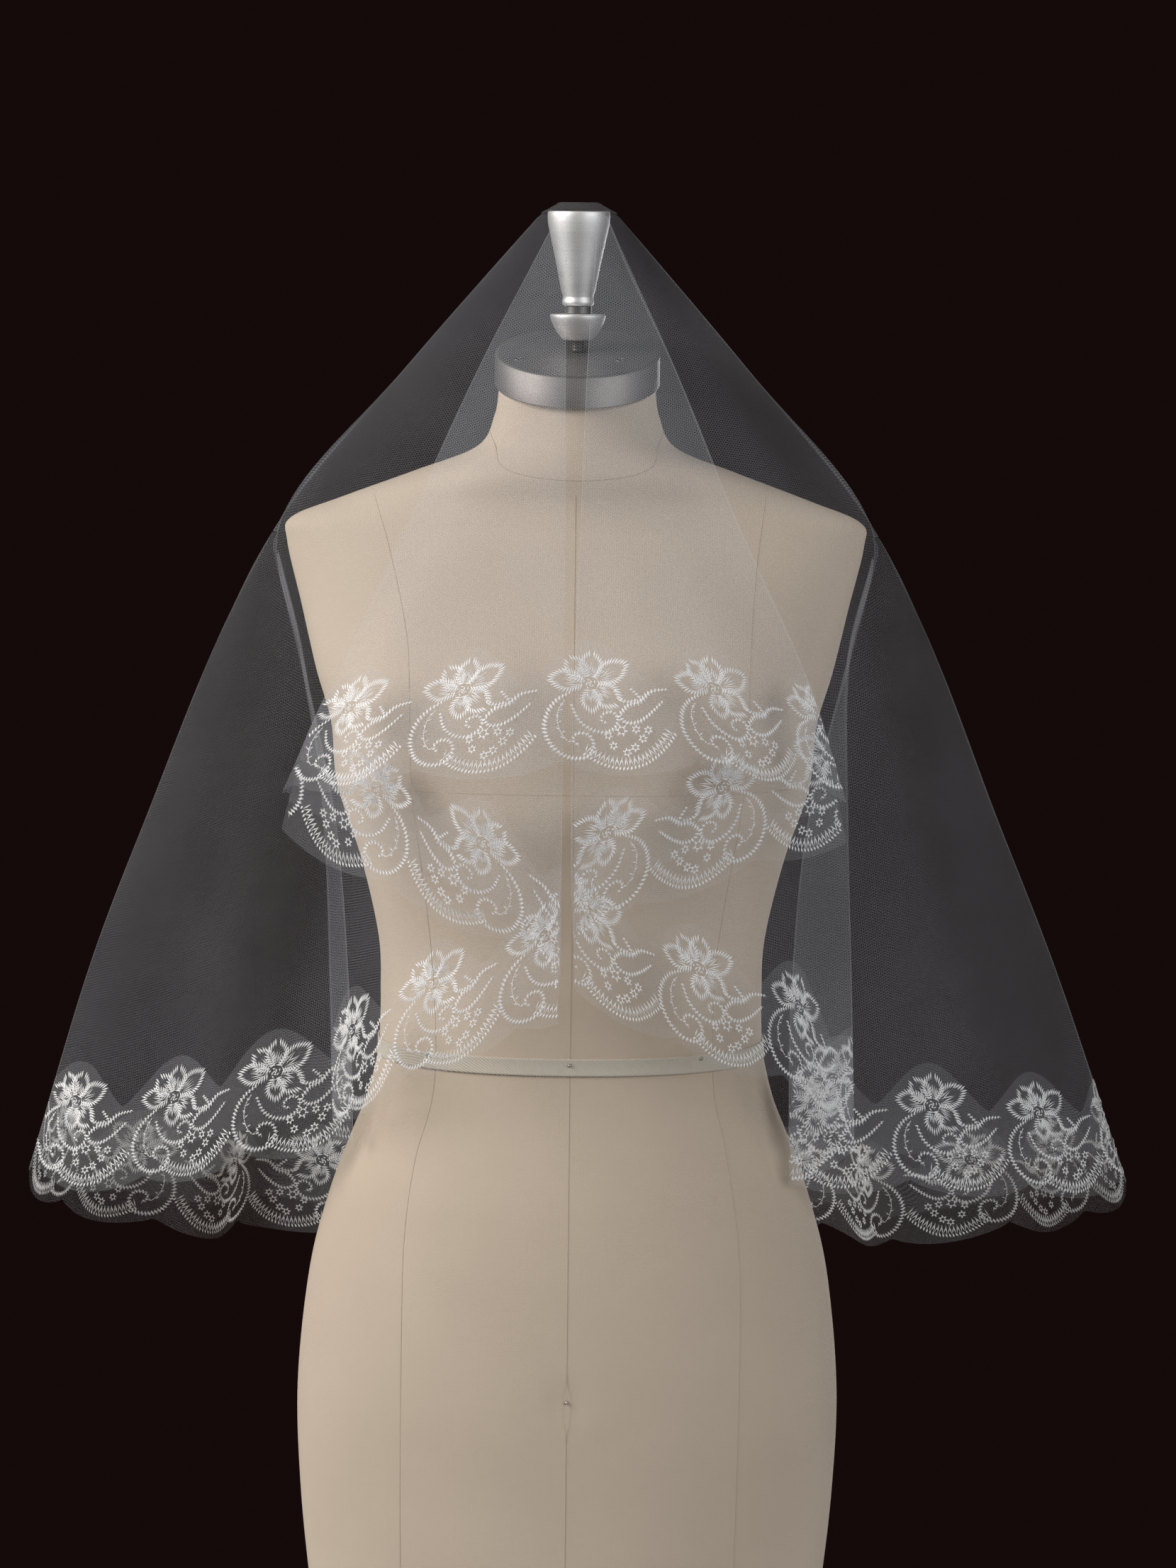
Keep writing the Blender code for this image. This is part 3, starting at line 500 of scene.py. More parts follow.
# Net of the veil.
# Fine soft tulle in six-sided meshes, cut as one round sheet. It hangs from the knob, falls over
# the shoulders and is folded back on itself in front in soft unpressed folds.
def net_surface(name, slot, mesh_size, thread_alpha, hole_alpha, tint):
    net = Surface(name, slot, Roughness=0.55, Diffuse_Roughness=1.0, Sheen_Weight=0.25, Sheen_Roughness=0.4)
    flat = net.wire("ShaderNodeUVMap", uv_map="cloth_metres")
    across = net.wire("ShaderNodeSeparateXYZ", {0: flat}, 0) * (math.tau / mesh_size)
    down = net.wire("ShaderNodeSeparateXYZ", {0: flat}, 1) * (math.tau / mesh_size * math.sqrt(3) / 2)
    cells = (across.maths("COSINE", across) + across.maths("COSINE", across * 0.5 + down)
             + across.maths("COSINE", across * 0.5 - down))
    holes = cells.between(-1.1, 0.1)
    patchy = net.noise(net.place(), 14.0, 3.0).between(0.3, 0.7, 0.85, 1.15)
    net.feed("Alpha", holes.between(0.0, 1.0, thread_alpha, hole_alpha) * patchy)
    net.feed("Base Color", net.noise(net.place(), 60.0).mix(colour(*tint), colour(0.90, 0.93, 0.97)))
    net.bump(cells, 1.0, 0.00012)
    net.material.surface_render_method = "BLENDED"
    return net


tulle = net_surface("tulle", "tulle", 0.0015, 0.108, 0.014, (0.82, 0.85, 0.92))
tulle_fold = net_surface("tulle_fold", "tulle", 0.0015, 0.17, 0.06, (0.86, 0.88, 0.93))
crown_tulle = net_surface("crown_tulle", "tulle", 0.0015, 0.10, 0.02, (0.90, 0.90, 0.93))


def lengths(points):
    steps = np.linalg.norm(np.diff(points, axis=0), axis=-1)
    return np.concatenate([np.zeros((1,) + steps.shape[1:]), np.cumsum(steps, axis=0)])


# Fold lines of the front flap from the knob down to the hem, each a list of x, y, z.
FLAP_RIBS = {
    "right_fold": [(0.0165, -0.0262, 1.5975), (0.062, -0.047, 1.500), (0.102, -0.068, 1.405),
                   (0.146, -0.085, 1.310), (0.173, -0.090, 1.228)],
    "right_middle": [(0.009, -0.0265, 1.5975), (0.040, -0.058, 1.500), (0.062, -0.090, 1.405),
                     (0.084, -0.124, 1.310), (0.094, -0.145, 1.250)],
    "centre": [(0.003, -0.0266, 1.5975), (0.003, -0.062, 1.500), (0.002, -0.097, 1.405),
               (0.004, -0.134, 1.310), (0.006, -0.153, 1.252)],
    "left_middle": [(-0.004, -0.0265, 1.5975), (-0.040, -0.057, 1.500), (-0.062, -0.089, 1.405),
                    (-0.084, -0.123, 1.310), (-0.100, -0.143, 1.245)],
    "left_fold": [(-0.012, -0.0262, 1.5975), (-0.062, -0.045, 1.500), (-0.105, -0.067, 1.405),
                  (-0.148, -0.085, 1.312), (-0.185, -0.089, 1.228)],
}

# Inner folds, which run from the flap's fold back to the middle.
INNER_LEFT = {
    "flap_fold": [(-0.0122, -0.0249, 1.597), (-0.0308, -0.0315, 1.560), (-0.0613, -0.0436, 1.500),
                  (-0.1040, -0.0655, 1.405), (-0.1470, -0.0832, 1.312), (-0.1690, -0.0848, 1.265),
                  (-0.1862, -0.0866, 1.202)],
    "middle": [(-0.0101, -0.0249, 1.597), (-0.0200, -0.0347, 1.560), (-0.036, -0.0508, 1.500),
               (-0.055, -0.0785, 1.405), (-0.078, -0.1110, 1.305), (-0.084, -0.1280, 1.235),
               (-0.092, -0.1350, 1.163)],
    "centre_fold": [(-0.0080, -0.0250, 1.597), (-0.0080, -0.0370, 1.560), (-0.0080, -0.0565, 1.500),
                    (-0.007, -0.0866, 1.405), (-0.007, -0.1195, 1.305), (-0.0070, -0.1425, 1.215),
                    (-0.007, -0.1530, 1.125)],
}
INNER_RIGHT = {
    "centre_fold": [(0.0125, -0.0250, 1.597), (0.0105, -0.0370, 1.560), (0.0070, -0.0566, 1.500),
                    (0.0040, -0.0867, 1.405), (0.0010, -0.1195, 1.305), (0.0000, -0.1425, 1.222),
                    (0.0025, -0.1520, 1.148)],
    "middle": [(0.0146, -0.0249, 1.597), (0.0220, -0.0343, 1.560), (0.037, -0.0510, 1.500),
               (0.055, -0.0785, 1.405), (0.078, -0.1110, 1.305), (0.082, -0.1280, 1.238),
               (0.084, -0.1350, 1.180)],
    "flap_fold": [(0.0167, -0.0249, 1.597), (0.0318, -0.0315, 1.560), (0.0610, -0.0452, 1.500),
                  (0.1010, -0.0665, 1.405), (0.1450, -0.0832, 1.310), (0.1600, -0.0846, 1.265),
                  (0.1745, -0.0870, 1.202)],
}

# Lower fronts, from the middle out to the fold along each armhole.
FRONT_LEFT = {
    "centre_fold": [(-0.0080, -0.0236, 1.5970), (-0.0080, -0.0545, 1.500), (-0.007, -0.0842, 1.405),
                    (-0.007, -0.1125, 1.310), (-0.0070, -0.1370, 1.210), (-0.007, -0.1455, 1.095)],
    "inner": [(-0.0165, -0.0176, 1.5970), (-0.045, -0.0428, 1.500), (-0.078, -0.0665, 1.405),
              (-0.068, -0.1025, 1.310), (-0.066, -0.1260, 1.210), (-0.067, -0.1375, 1.068)],
    "outer": [(-0.0222, -0.0095, 1.5970), (-0.082, -0.0245, 1.500), (-0.143, -0.0505, 1.403),
              (-0.125, -0.0835, 1.310), (-0.124, -0.0930, 1.210), (-0.121, -0.1040, 1.036)],
    "arm_fold": [(-0.0240, -0.0014, 1.5970), (-0.108, -0.0020, 1.500), (-0.1890, -0.0020, 1.4010),
                 (-0.1740, -0.0400, 1.310), (-0.1590, -0.0480, 1.210), (-0.1510, -0.0610, 1.004)],
}
FRONT_RIGHT = {
    "arm_fold": [(0.0240, -0.0014, 1.5970), (0.108, -0.0020, 1.500), (0.1890, -0.0020, 1.4010),
                 (0.1755, -0.0400, 1.310), (0.1760, -0.0480, 1.210), (0.1830, -0.0560, 0.996)],
    "outer": [(0.0228, -0.0105, 1.5970), (0.084, -0.0245, 1.500), (0.143, -0.0505, 1.403),
              (0.127, -0.0825, 1.310), (0.134, -0.0930, 1.210), (0.141, -0.1010, 1.045)],
    "inner": [(0.0190, -0.0185, 1.5970), (0.046, -0.0428, 1.500), (0.078, -0.0665, 1.405),
              (0.068, -0.1025, 1.310), (0.068, -0.1260, 1.210), (0.074, -0.1360, 1.074)],
    "centre_fold": [(0.0125, -0.0236, 1.5970), (0.0070, -0.0545, 1.500), (0.0040, -0.0842, 1.405),
                    (0.0010, -0.1125, 1.310), (0.0000, -0.1370, 1.210), (0.0025, -0.1455, 1.112)],
}

# Tucks behind the armhole folds.
TUCK_LEFT = {
    "arm_fold": [(-0.1913, -0.0070, 1.3800), (-0.1722, -0.0365, 1.310), (-0.1583, -0.0467, 1.210),
                 (-0.1530, -0.0530, 1.100), (-0.1503, -0.0596, 1.004)],
    "wing_fold": [(-0.1930, -0.0053, 1.3800), (-0.1738, -0.0300, 1.310), (-0.1525, -0.0415, 1.210),
                  (-0.1430, -0.0460, 1.100), (-0.1395, -0.0525, 1.000)],
}
TUCK_RIGHT = {
    "wing_fold": [(0.1930, -0.0053, 1.3800), (0.1740, -0.0300, 1.310), (0.1510, -0.0415, 1.210),
                  (0.1420, -0.0480, 1.100), (0.1415, -0.0575, 0.976)],
    "arm_fold": [(0.1913, -0.0070, 1.3800), (0.1738, -0.0365, 1.310), (0.1753, -0.0466, 1.210),
                 (0.1800, -0.0500, 1.100), (0.1823, -0.0546, 0.992)],
}

# Wings, from behind the tuck out over the shoulder to the silhouette.
WING_LEFT = {
    "wing_fold": [(-0.1919, -0.0035, 1.3920), (-0.1946, -0.0040, 1.3800), (-0.1860, -0.0152, 1.345),
                  (-0.1765, -0.0255, 1.310), (-0.1535, -0.0365, 1.210), (-0.1440, -0.0405, 1.100),
                  (-0.1405, -0.0460, 0.998)],
    "inner": [(-0.1926, -0.0024, 1.3920), (-0.1963, -0.0025, 1.3800), (-0.1985, -0.0072, 1.345),
              (-0.200, -0.0120, 1.310), (-0.204, -0.0230, 1.210), (-0.208, -0.0300, 1.100),
              (-0.212, -0.0350, 0.980)],
    "middle": [(-0.1933, -0.0013, 1.3920), (-0.1980, -0.0010, 1.3800), (-0.2080, -0.0016, 1.345),
               (-0.217, -0.0020, 1.310), (-0.241, -0.0010, 1.210), (-0.262, 0.0020, 1.100),
               (-0.281, 0.0060, 0.958)],
    "outer": [(-0.1940, -0.0003, 1.3920), (-0.1997, 0.0005, 1.3800), (-0.2150, 0.0040, 1.345),
              (-0.229, 0.0080, 1.310), (-0.265, 0.0190, 1.210), (-0.297, 0.0230, 1.100),
              (-0.330, 0.0260, 0.953)],
    "edge_fold": [(-0.1946, 0.0008, 1.3920), (-0.2015, 0.0020, 1.3800), (-0.2192, 0.0100, 1.345),
                  (-0.236, 0.0186, 1.310), (-0.276, 0.0346, 1.210), (-0.318, 0.0466, 1.100),
                  (-0.361, 0.0576, 0.957)],
}
WING_RIGHT = {
    "edge_fold": [(0.1946, 0.0008, 1.3920), (0.2015, 0.0020, 1.3800), (0.2192, 0.0100, 1.345),
                  (0.236, 0.0186, 1.310), (0.276, 0.0346, 1.210), (0.321, 0.0466, 1.100),
                  (0.372, 0.0576, 0.955)],
    "outer": [(0.1940, -0.0003, 1.3920), (0.1997, 0.0005, 1.3800), (0.2150, 0.0040, 1.345),
              (0.229, 0.0080, 1.310), (0.266, 0.0180, 1.210), (0.300, 0.0220, 1.100),
              (0.338, 0.0250, 0.955)],
    "middle": [(0.1933, -0.0013, 1.3920), (0.1980, -0.0010, 1.3800), (0.2080, -0.0016, 1.345),
               (0.217, -0.0030, 1.310), (0.243, -0.0050, 1.210), (0.266, -0.0050, 1.100),
               (0.289, -0.0040, 0.960)],
    "inner": [(0.1926, -0.0024, 1.3920), (0.1963, -0.0025, 1.3800), (0.1985, -0.0072, 1.345),
              (0.200, -0.0120, 1.310), (0.203, -0.0220, 1.210), (0.208, -0.0270, 1.100),
              (0.214, -0.0300, 0.968)],
    "wing_fold": [(0.1919, -0.0035, 1.3920), (0.1946, -0.0040, 1.3800), (0.1860, -0.0152, 1.345),
                  (0.1765, -0.0255, 1.310), (0.1520, -0.0360, 1.210), (0.1430, -0.0415, 1.100),
                  (0.1425, -0.0510, 0.970)],
}

# Back: half width, centre of the side fold in y, back of the centre line in y, and the hem
# height at the side and at the centre, for each level from the knob down.
BACK_LEVELS = [
    # half_left, half_right, side_y, back_y, side_z, centre_z, flute_depth
    (0.0240, 0.0240, 0.0012, 0.0240, 1.5970, 1.5970, 0.0000),
    (0.1080, 0.1080, 0.0018, 0.0740, 1.5000, 1.5000, 0.0015),
    (0.1895, 0.1895, 0.0014, 0.1060, 1.4010, 1.4040, 0.0050),
    (0.2360, 0.2360, 0.0200, 0.1340, 1.3100, 1.3100, 0.0100),
    (0.2760, 0.2760, 0.0360, 0.1620, 1.2100, 1.2000, 0.0160),
    (0.3180, 0.3210, 0.0480, 0.1980, 1.1000, 1.0750, 0.0225),
    (0.3610, 0.3720, 0.0590, 0.2520, 0.9570, 0.8700, 0.0310),
]
# Soft flutes of the back: angle round from the left side fold in degrees, depth as a share of
# the level's depth (out is positive) and half width in degrees.
BACK_FLUTES = [
    (28.0, 0.12, 12.0), (43.0, -0.45, 9.0), (57.0, 0.80, 9.0), (71.0, -1.00, 9.0),
    (86.0, 1.00, 10.0), (102.0, -0.90, 9.0), (116.0, 0.90, 9.0), (130.0, -0.60, 8.0),
    (143.0, 0.35, 9.0), (158.0, -0.12, 10.0),
]


def ribs_at(ribs):
    """Function that gives the lines of a panel at places counted in its ribs."""
    table = np.array(list(ribs.values()))
    return lambda places: np.swapaxes(smooth(table, places), 0, 1)


def back_at(places):
    """Lines of the back at angles round from the left side fold."""
    angles = np.asarray(places, float)
    turn = np.radians(angles)
    flute = sum(depth * np.exp(-((angles - centre) / half * 1.25) ** 2) for centre, depth, half in BACK_FLUTES)
    flute = flute * np.minimum(1.0, np.minimum(angles / 6.0, (180.0 - angles) / 6.0))
    lines = []
    for left, right, side_y, back_y, side_z, centre_z, deep in BACK_LEVELS:
        half_width = left + (right - left) * angles / 180.0
        behind = np.sin(turn)
        reach = 1.0 + flute * deep / np.hypot(half_width, back_y - side_y) * 1.4
        x = -half_width * np.cos(turn) * reach
        y = side_y + (back_y - side_y) * behind * reach + flute * deep * 0.5 * behind
        z = side_z + (centre_z - side_z) * behind ** 0.7 + flute * deep * 0.12
        lines.append(np.stack([x, y, z], axis=1))
    return np.array(lines)


def fine_lines(lines_at, span, columns, creases):
    """Sheet as a dense grid of points: evenly spaced along the hem, then from the top down."""
    places = np.linspace(0.0, span, 321)
    along = lengths(lines_at(places)[-1])
    control = lines_at(np.interp(np.linspace(0.0, along[-1], columns + 1), along, places))
    count = 14 * (len(control) - 1) + 1
    grid = np.swapaxes(smooth(control, np.linspace(0, len(control) - 1, count)), 0, 1)
    normals = grid_normals(grid)
    share = np.linspace(0.0, 1.0, columns + 1)[:, None]
    drop = np.linspace(0.0, 1.0, count)[None, :]
    widths = lengths(grid)[-1][None, :]
    hollow = np.zeros(grid.shape[:2])
    for top, hem, depth, half, start, end in creases:
        centre = top + (hem - top) * drop
        rise = np.clip((drop - start) / 0.25, 0, 1) * np.clip((end - drop) / 0.2 + 0.05, 0, 1)
        hollow += depth * rise * np.exp(-((share - centre) * widths / half) ** 2)
    hollow *= np.clip(np.sin(np.pi * share) * 2.2, 0, 1)
    return grid + normals * hollow[..., None]


def grid_normals(grid):
    normals = np.cross(np.gradient(grid, axis=0), np.gradient(grid, axis=1))
    return normals / np.maximum(np.linalg.norm(normals, axis=2, keepdims=True), 1e-12)


def at_depths(grid, depths_of):
    """Points of each line at the depths that a function gives for its full length."""
    picked = []
    for column, line in enumerate(grid):
        down = lengths(line)
        depths = depths_of(column, down[-1])
        picked.append(np.stack([np.interp(depths, down, line[:, axis]) for axis in range(3)], axis=1))
    return np.array(picked)


def flat_places(grid):
    """Place of each point on the cloth, in metres: across from the middle line, and down."""
    across = lengths(grid)
    across = across - across[len(grid) // 2]
    down = np.array([lengths(line) for line in grid])
    return np.stack([across, down], axis=2)


HEM_ABOVE_EDGE = 0.026
SHEETS = {
    # name: lines, span, columns, rows, cad nodes, creases
    # each crease: share across at the top and at the hem, depth, half width, start and end down
    "flap_net": (ribs_at(FLAP_RIBS), 4, 84, 50, ["front_flap"],
                 [(0.50, 0.30, 0.0030, 0.010, 0.25, 1.1), (0.50, 0.42, -0.0026, 0.012, 0.35, 1.1),
                  (0.52, 0.63, 0.0026, 0.011, 0.30, 1.1), (0.52, 0.78, -0.0022, 0.012, 0.40, 1.1),
                  (0.48, 0.17, -0.0020, 0.009, 0.45, 1.1), (0.50, 0.52, 0.0016, 0.007, 0.55, 1.1)]),
    "inner_left_net": (ribs_at(INNER_LEFT), 2, 48, 40, ["inner_fold_left"],
                       [(0.5, 0.35, 0.0012, 0.009, 0.4, 1.1), (0.5, 0.66, -0.0012, 0.010, 0.5, 1.1)]),
    "inner_right_net": (ribs_at(INNER_RIGHT), 2, 44, 40, ["inner_fold_right"],
                        [(0.5, 0.40, 0.0012, 0.009, 0.4, 1.1), (0.5, 0.70, -0.0010, 0.010, 0.5, 1.1)]),
    "front_left_net": (ribs_at(FRONT_LEFT), 3, 48, 70, ["lower_front_left"],
                       [(0.6, 0.38, -0.0022, 0.009, 0.62, 1.1), (0.6, 0.62, 0.0026, 0.010, 0.60, 1.1),
                        (0.6, 0.83, -0.0018, 0.008, 0.65, 1.1)]),
    "front_right_net": (ribs_at(FRONT_RIGHT), 3, 52, 70, ["lower_front_right"],
                        [(0.4, 0.22, -0.0020, 0.009, 0.62, 1.1), (0.4, 0.45, 0.0024, 0.011, 0.60, 1.1),
                         (0.4, 0.70, -0.0018, 0.009, 0.65, 1.1)]),
    "tuck_left_net": (ribs_at(TUCK_LEFT), 1, 6, 40, ["tuck_left"], []),
    "tuck_right_net": (ribs_at(TUCK_RIGHT), 1, 10, 40, ["tuck_right"], []),
    "wing_left_net": (ribs_at(WING_LEFT), 4, 60, 50, ["wing_left"],
                      [(0.5, 0.27, 0.0010, 0.014, 0.55, 1.1), (0.5, 0.46, -0.0014, 0.016, 0.50, 1.1),
                       (0.6, 0.68, 0.0014, 0.012, 0.55, 1.1), (0.8, 0.86, -0.0020, 0.009, 0.60, 1.1),
                       (0.9, 0.93, 0.0016, 0.006, 0.70, 1.1), (0.7, 0.58, 0.0016, 0.005, 0.75, 1.1)]),
    "wing_right_net": (ribs_at(WING_RIGHT), 4, 60, 50, ["wing_right"],
                       [(0.5, 0.34, 0.0012, 0.014, 0.50, 1.1), (0.5, 0.55, -0.0014, 0.016, 0.50, 1.1),
                        (0.6, 0.76, 0.0014, 0.012, 0.55, 1.1), (0.2, 0.14, -0.0018, 0.009, 0.60, 1.1)]),
    "back_net": (back_at, 180.0, 300, 70, ["back_left", "back_right"], []),
}
drape, cut_sheets = {}, {}
for sheet_name, (lines_at, span, columns, rows, cad_nodes, creases) in SHEETS.items():
    drape[sheet_name] = fine_lines(lines_at, span, columns, creases)
    cut = at_depths(drape[sheet_name],
                    lambda column, total: np.linspace(0.0, total - HEM_ABOVE_EDGE, rows + 1))
    sheet = add_mesh(sheet_name, cut.reshape(-1, 3), grid_faces(columns + 1, rows + 1), tulle, cad_nodes,
                     uvs=flat_places(cut).reshape(-1, 2))
    cut_sheets[sheet_name] = sheet, cut


# Folds of the veil.
# Where the sheet turns back on itself the net lies double in a soft rolled edge, which shows as
# a pale line.
def add_fold(name, first, second, high, low):
    """Rolled edge that joins two lines of the sheet between two heights."""
    heights = np.linspace(high, low, 90)
    edges = []
    for sheet_name, side in (first, second):
        line = drape[sheet_name][side]
        inward = drape[sheet_name][3 if side == 0 else -4] - line
        order = np.argsort(line[:, 2])
        edges.append([np.interp(heights, line[order, 2], values[order]) for values in (*line.T, *inward.T)])
    edges = np.array(edges)
    near, far = edges[0, :3].T, edges[1, :3].T
    out = -(edges[0, 3:] + edges[1, 3:]).T
    out /= np.linalg.norm(out, axis=1, keepdims=True)
    middle, half = (near + far) / 2, (near - far) / 2
    reach = np.clip(np.linalg.norm(half, axis=1, keepdims=True), 0.0003, 0.0008)
    rows = [middle + half * math.cos(turn) + out * reach * math.sin(turn) for turn in np.linspace(0, math.pi, 9)]
    uvs = [(step * 0.0004, -height) for step in range(9) for height in heights]
    add_mesh(name, np.concatenate(rows), grid_faces(9, 90), tulle_fold, uvs=uvs)


FIRST, LAST = 0, -1
add_fold("fold_flap_left", ("flap_net", LAST), ("inner_left_net", FIRST), 1.596, 1.232)
add_fold("fold_flap_right", ("flap_net", FIRST), ("inner_right_net", LAST), 1.596, 1.230)
add_fold("fold_centre_left", ("inner_left_net", LAST), ("front_left_net", FIRST), 1.596, 1.128)
add_fold("fold_centre_right", ("inner_right_net", FIRST), ("front_right_net", LAST), 1.596, 1.150)
add_fold("fold_arm_left", ("front_left_net", LAST), ("tuck_left_net", FIRST), 1.378, 1.006)
add_fold("fold_arm_right", ("front_right_net", FIRST), ("tuck_right_net", LAST), 1.378, 1.006)
add_fold("fold_wing_left", ("tuck_left_net", LAST), ("wing_left_net", FIRST), 1.379, 1.004)
add_fold("fold_wing_right", ("tuck_right_net", FIRST), ("wing_right_net", LAST), 1.379, 1.004)
add_fold("fold_side_left", ("wing_left_net", LAST), ("back_net", FIRST), 1.391, 0.960)
add_fold("fold_side_right", ("wing_right_net", FIRST), ("back_net", LAST), 1.391, 0.960)
add_fold("fold_tip_left", ("front_left_net", LAST), ("wing_left_net", FIRST), 1.392, 1.379)
add_fold("fold_tip_right", ("front_right_net", FIRST), ("wing_right_net", LAST), 1.392, 1.379)
add_fold("ridge_left", ("front_left_net", LAST), ("back_net", FIRST), 1.595, 1.392)
add_fold("ridge_right", ("front_right_net", FIRST), ("back_net", LAST), 1.595, 1.392)


# Crown.
# The middle of the sheet lies over the flat top of the knob and turns down over its rim.
crown_rings = []
for scale, height in ((0.02, 1.6044), (0.30, 1.6045), (0.50, 1.6045), (0.56, 1.6039), (0.60, 1.6031), (0.85, 1.5997),
                      (0.97, 1.5983), (1.0, 1.5974)):
    ring = []
    for turn in np.linspace(0, math.tau, 96, endpoint=False):
        pucker = 1 + 0.012 * scale ** 3 * math.sin(turn * 9) + 0.008 * scale ** 3 * math.sin(turn * 17 + 1)
        deep = 0.0268 if math.cos(turn) > 0 else 0.0246
        ring.append((0.0243 * scale * pucker * math.sin(turn), -deep * scale * pucker * math.cos(turn), height))
    crown_rings.append(ring)
crown_points = np.swapaxes(np.array(crown_rings), 0, 1)
crown_uvs = crown_points[..., :2] - crown_points[..., 2:] * 0.5
add_mesh("crown_net", crown_points.reshape(-1, 3), grid_faces(96, 8, wrap=True), crown_tulle, ["veil_crown"],
         uvs=crown_uvs.reshape(-1, 2))


# Lace border.
# A scalloped edging sewn along the hem: its own net ground, cut in shallow scallops below and
# in waves above, and embroidered in lustrous white thread.
lace_ground = net_surface("lace_ground", "lace", 0.0013, 0.15, 0.022, (0.88, 0.88, 0.90))
TRIM_PEAK, TRIM_VALLEY, TRIM_FLATNESS, SCALLOP_RISE, REPEAT = 0.087, 0.058, 0.6, 0.010, 0.080
TRIM_HIGH, SCALLOP_HIGH = 29.0, 11.0
GROUND_OFFSET, BAND_TOP, BAND_ROWS, FLOWER_ROW = 0.0009, 0.096, 24, 14


def scallop(share):
    """Height of the scalloped edge above its lowest point, with share counted in repeats."""
    return SCALLOP_RISE * (1 - np.abs(np.sin(np.pi * share)) ** 0.7)


cut_laces = {}


def add_lace(name, sheet_name, cad_nodes, middle_phase):
    """Net ground of the border on one sheet, and the band that its stitches lie on.

    The phase counts repeats from the viewer's right to left, from its value at the middle line.
    """
    fine = drape[sheet_name]
    hem = lengths(fine[:, -1])[-1]
    columns = 2 * max(4, round(hem / REPEAT * 12))
    dense = smooth(fine, np.linspace(0, len(fine) - 1, columns + 1))
    band = at_depths(dense, lambda column, total: total - np.linspace(0.0, BAND_TOP, BAND_ROWS))
    normals = -grid_normals(band)
    across = lengths(band)[:, FLOWER_ROW]
    phase = middle_phase + (across - across[columns // 2]) / REPEAT
    waves = 0.5 + 0.5 * np.cos((1 - phase - TRIM_HIGH / 80) * math.tau)
    tops = TRIM_VALLEY + (TRIM_PEAK - TRIM_VALLEY) * waves ** TRIM_FLATNESS
    edges = scallop(1 - phase - SCALLOP_HIGH / 80)

    def depths(column, total):
        return total - np.linspace(tops[column], edges[column], 12)

    ground = at_depths(dense, depths) + at_band(band, normals, GROUND_OFFSET, tops, edges)
    uvs = flat_places(ground)
    cut_laces[name.removesuffix("_edging")] = add_mesh(name, ground.reshape(-1, 3), grid_faces(columns + 1, 12),
                                                     lace_ground, cad_nodes, uvs=uvs.reshape(-1, 2)), ground, sheet_name
    return band, normals, phase


def at_band(band, normals, offset, tops, edges):
    """Outward step from the sheet for each row of the ground."""
    steps = np.empty((len(band), 12, 3))
    for row in range(12):
        heights = tops + (edges - tops) * row / 11
        place = np.clip(heights / BAND_TOP * (BAND_ROWS - 1), 0, BAND_ROWS - 1)
        near = np.minimum(place.astype(int), BAND_ROWS - 2)
        mix = (place - near)[:, None]
        index = np.arange(len(band))
        steps[:, row] = (normals[index, near] * (1 - mix) + normals[index, near + 1] * mix) * offset
    return steps


# Embroidery of the border.
# Open satin stitches in shiny white thread, as a machine lays them: zigzags that draw a
# six-petalled flower, scrolls, a feathered leaf, a cluster of stars and a toothed edge.
# Sizes are in millimetres.
stitches = []


def stitch(x, y, angle, long, wide):
    stitches.append((x, y, angle, long, wide * 1.3))


def path_points(points, step):
    line = smooth(points, np.linspace(0, len(points) - 1, 12 * len(points)))
    along = lengths(line)
    places = np.arange(0.0, along[-1], step)
    spots = np.stack([np.interp(places, along, line[:, axis]) for axis in range(2)], axis=1)
    ahead = np.stack([np.interp(places + 0.3, along, line[:, axis]) for axis in range(2)], axis=1)
    behind = np.stack([np.interp(places - 0.3, along, line[:, axis]) for axis in range(2)], axis=1)
    heading = np.arctan2((ahead - behind)[:, 1], (ahead - behind)[:, 0])
    return spots, heading, places / along[-1]


def zigzag(points, widths, step=2.45, thick=0.95, thin=0.24):
    """Thread that crosses a line to and fro: a thick tooth, then a thin one on the way back."""
    for spot, heading, share in zip(*path_points(points, step)):
        reach = np.interp(share, np.linspace(0, 1, len(widths)), widths)
        stitch(*spot, heading + math.pi / 2 - 0.30, reach, thick)
        back = step / 2
        stitch(spot[0] + back * math.cos(heading), spot[1] + back * math.sin(heading),
               heading + math.pi / 2 + math.atan2(step, reach), math.hypot(reach, step), thin)


def comb(points, side, start, long, step, lean=0.0, wide=0.8):
    """Short stitches that stand off one side of a line like the teeth of a comb."""
    for (x, y), heading, _ in zip(*path_points(points, step)):
        away = heading + side * (math.pi / 2 - lean)
        reach = start + long / 2
        stitch(x + reach * math.cos(away), y + reach * math.sin(away), away, long, wide)


def petal(x, y, heading, long, wide, depth):
    """Petal: close stitches that lean towards its tip along each side, and thin ones fanned inside."""
    for side in (-1, 1):
        outline = []
        for share in np.linspace(0.14, 1.0, 9):
            aside = side * wide / 2 * math.sin(math.pi * min(share, 0.985) ** 1.15) ** 0.75
            outline.append((x + long * share * math.cos(heading) - aside * math.sin(heading),
                            y + long * share * math.sin(heading) + aside * math.cos(heading)))
        comb(outline, side, -depth * 0.58, depth, 1.85, lean=0.60, wide=0.85)
    for ray in range(7):
        spread = (ray - 3) / 3
        turn = heading + spread * 0.40
        reach = long * (0.46 - 0.10 * abs(spread))
        stitch(x + reach * math.cos(turn), y + reach * math.sin(turn), turn + 0.10 * (-1) ** ray, long * 0.42, 0.5)


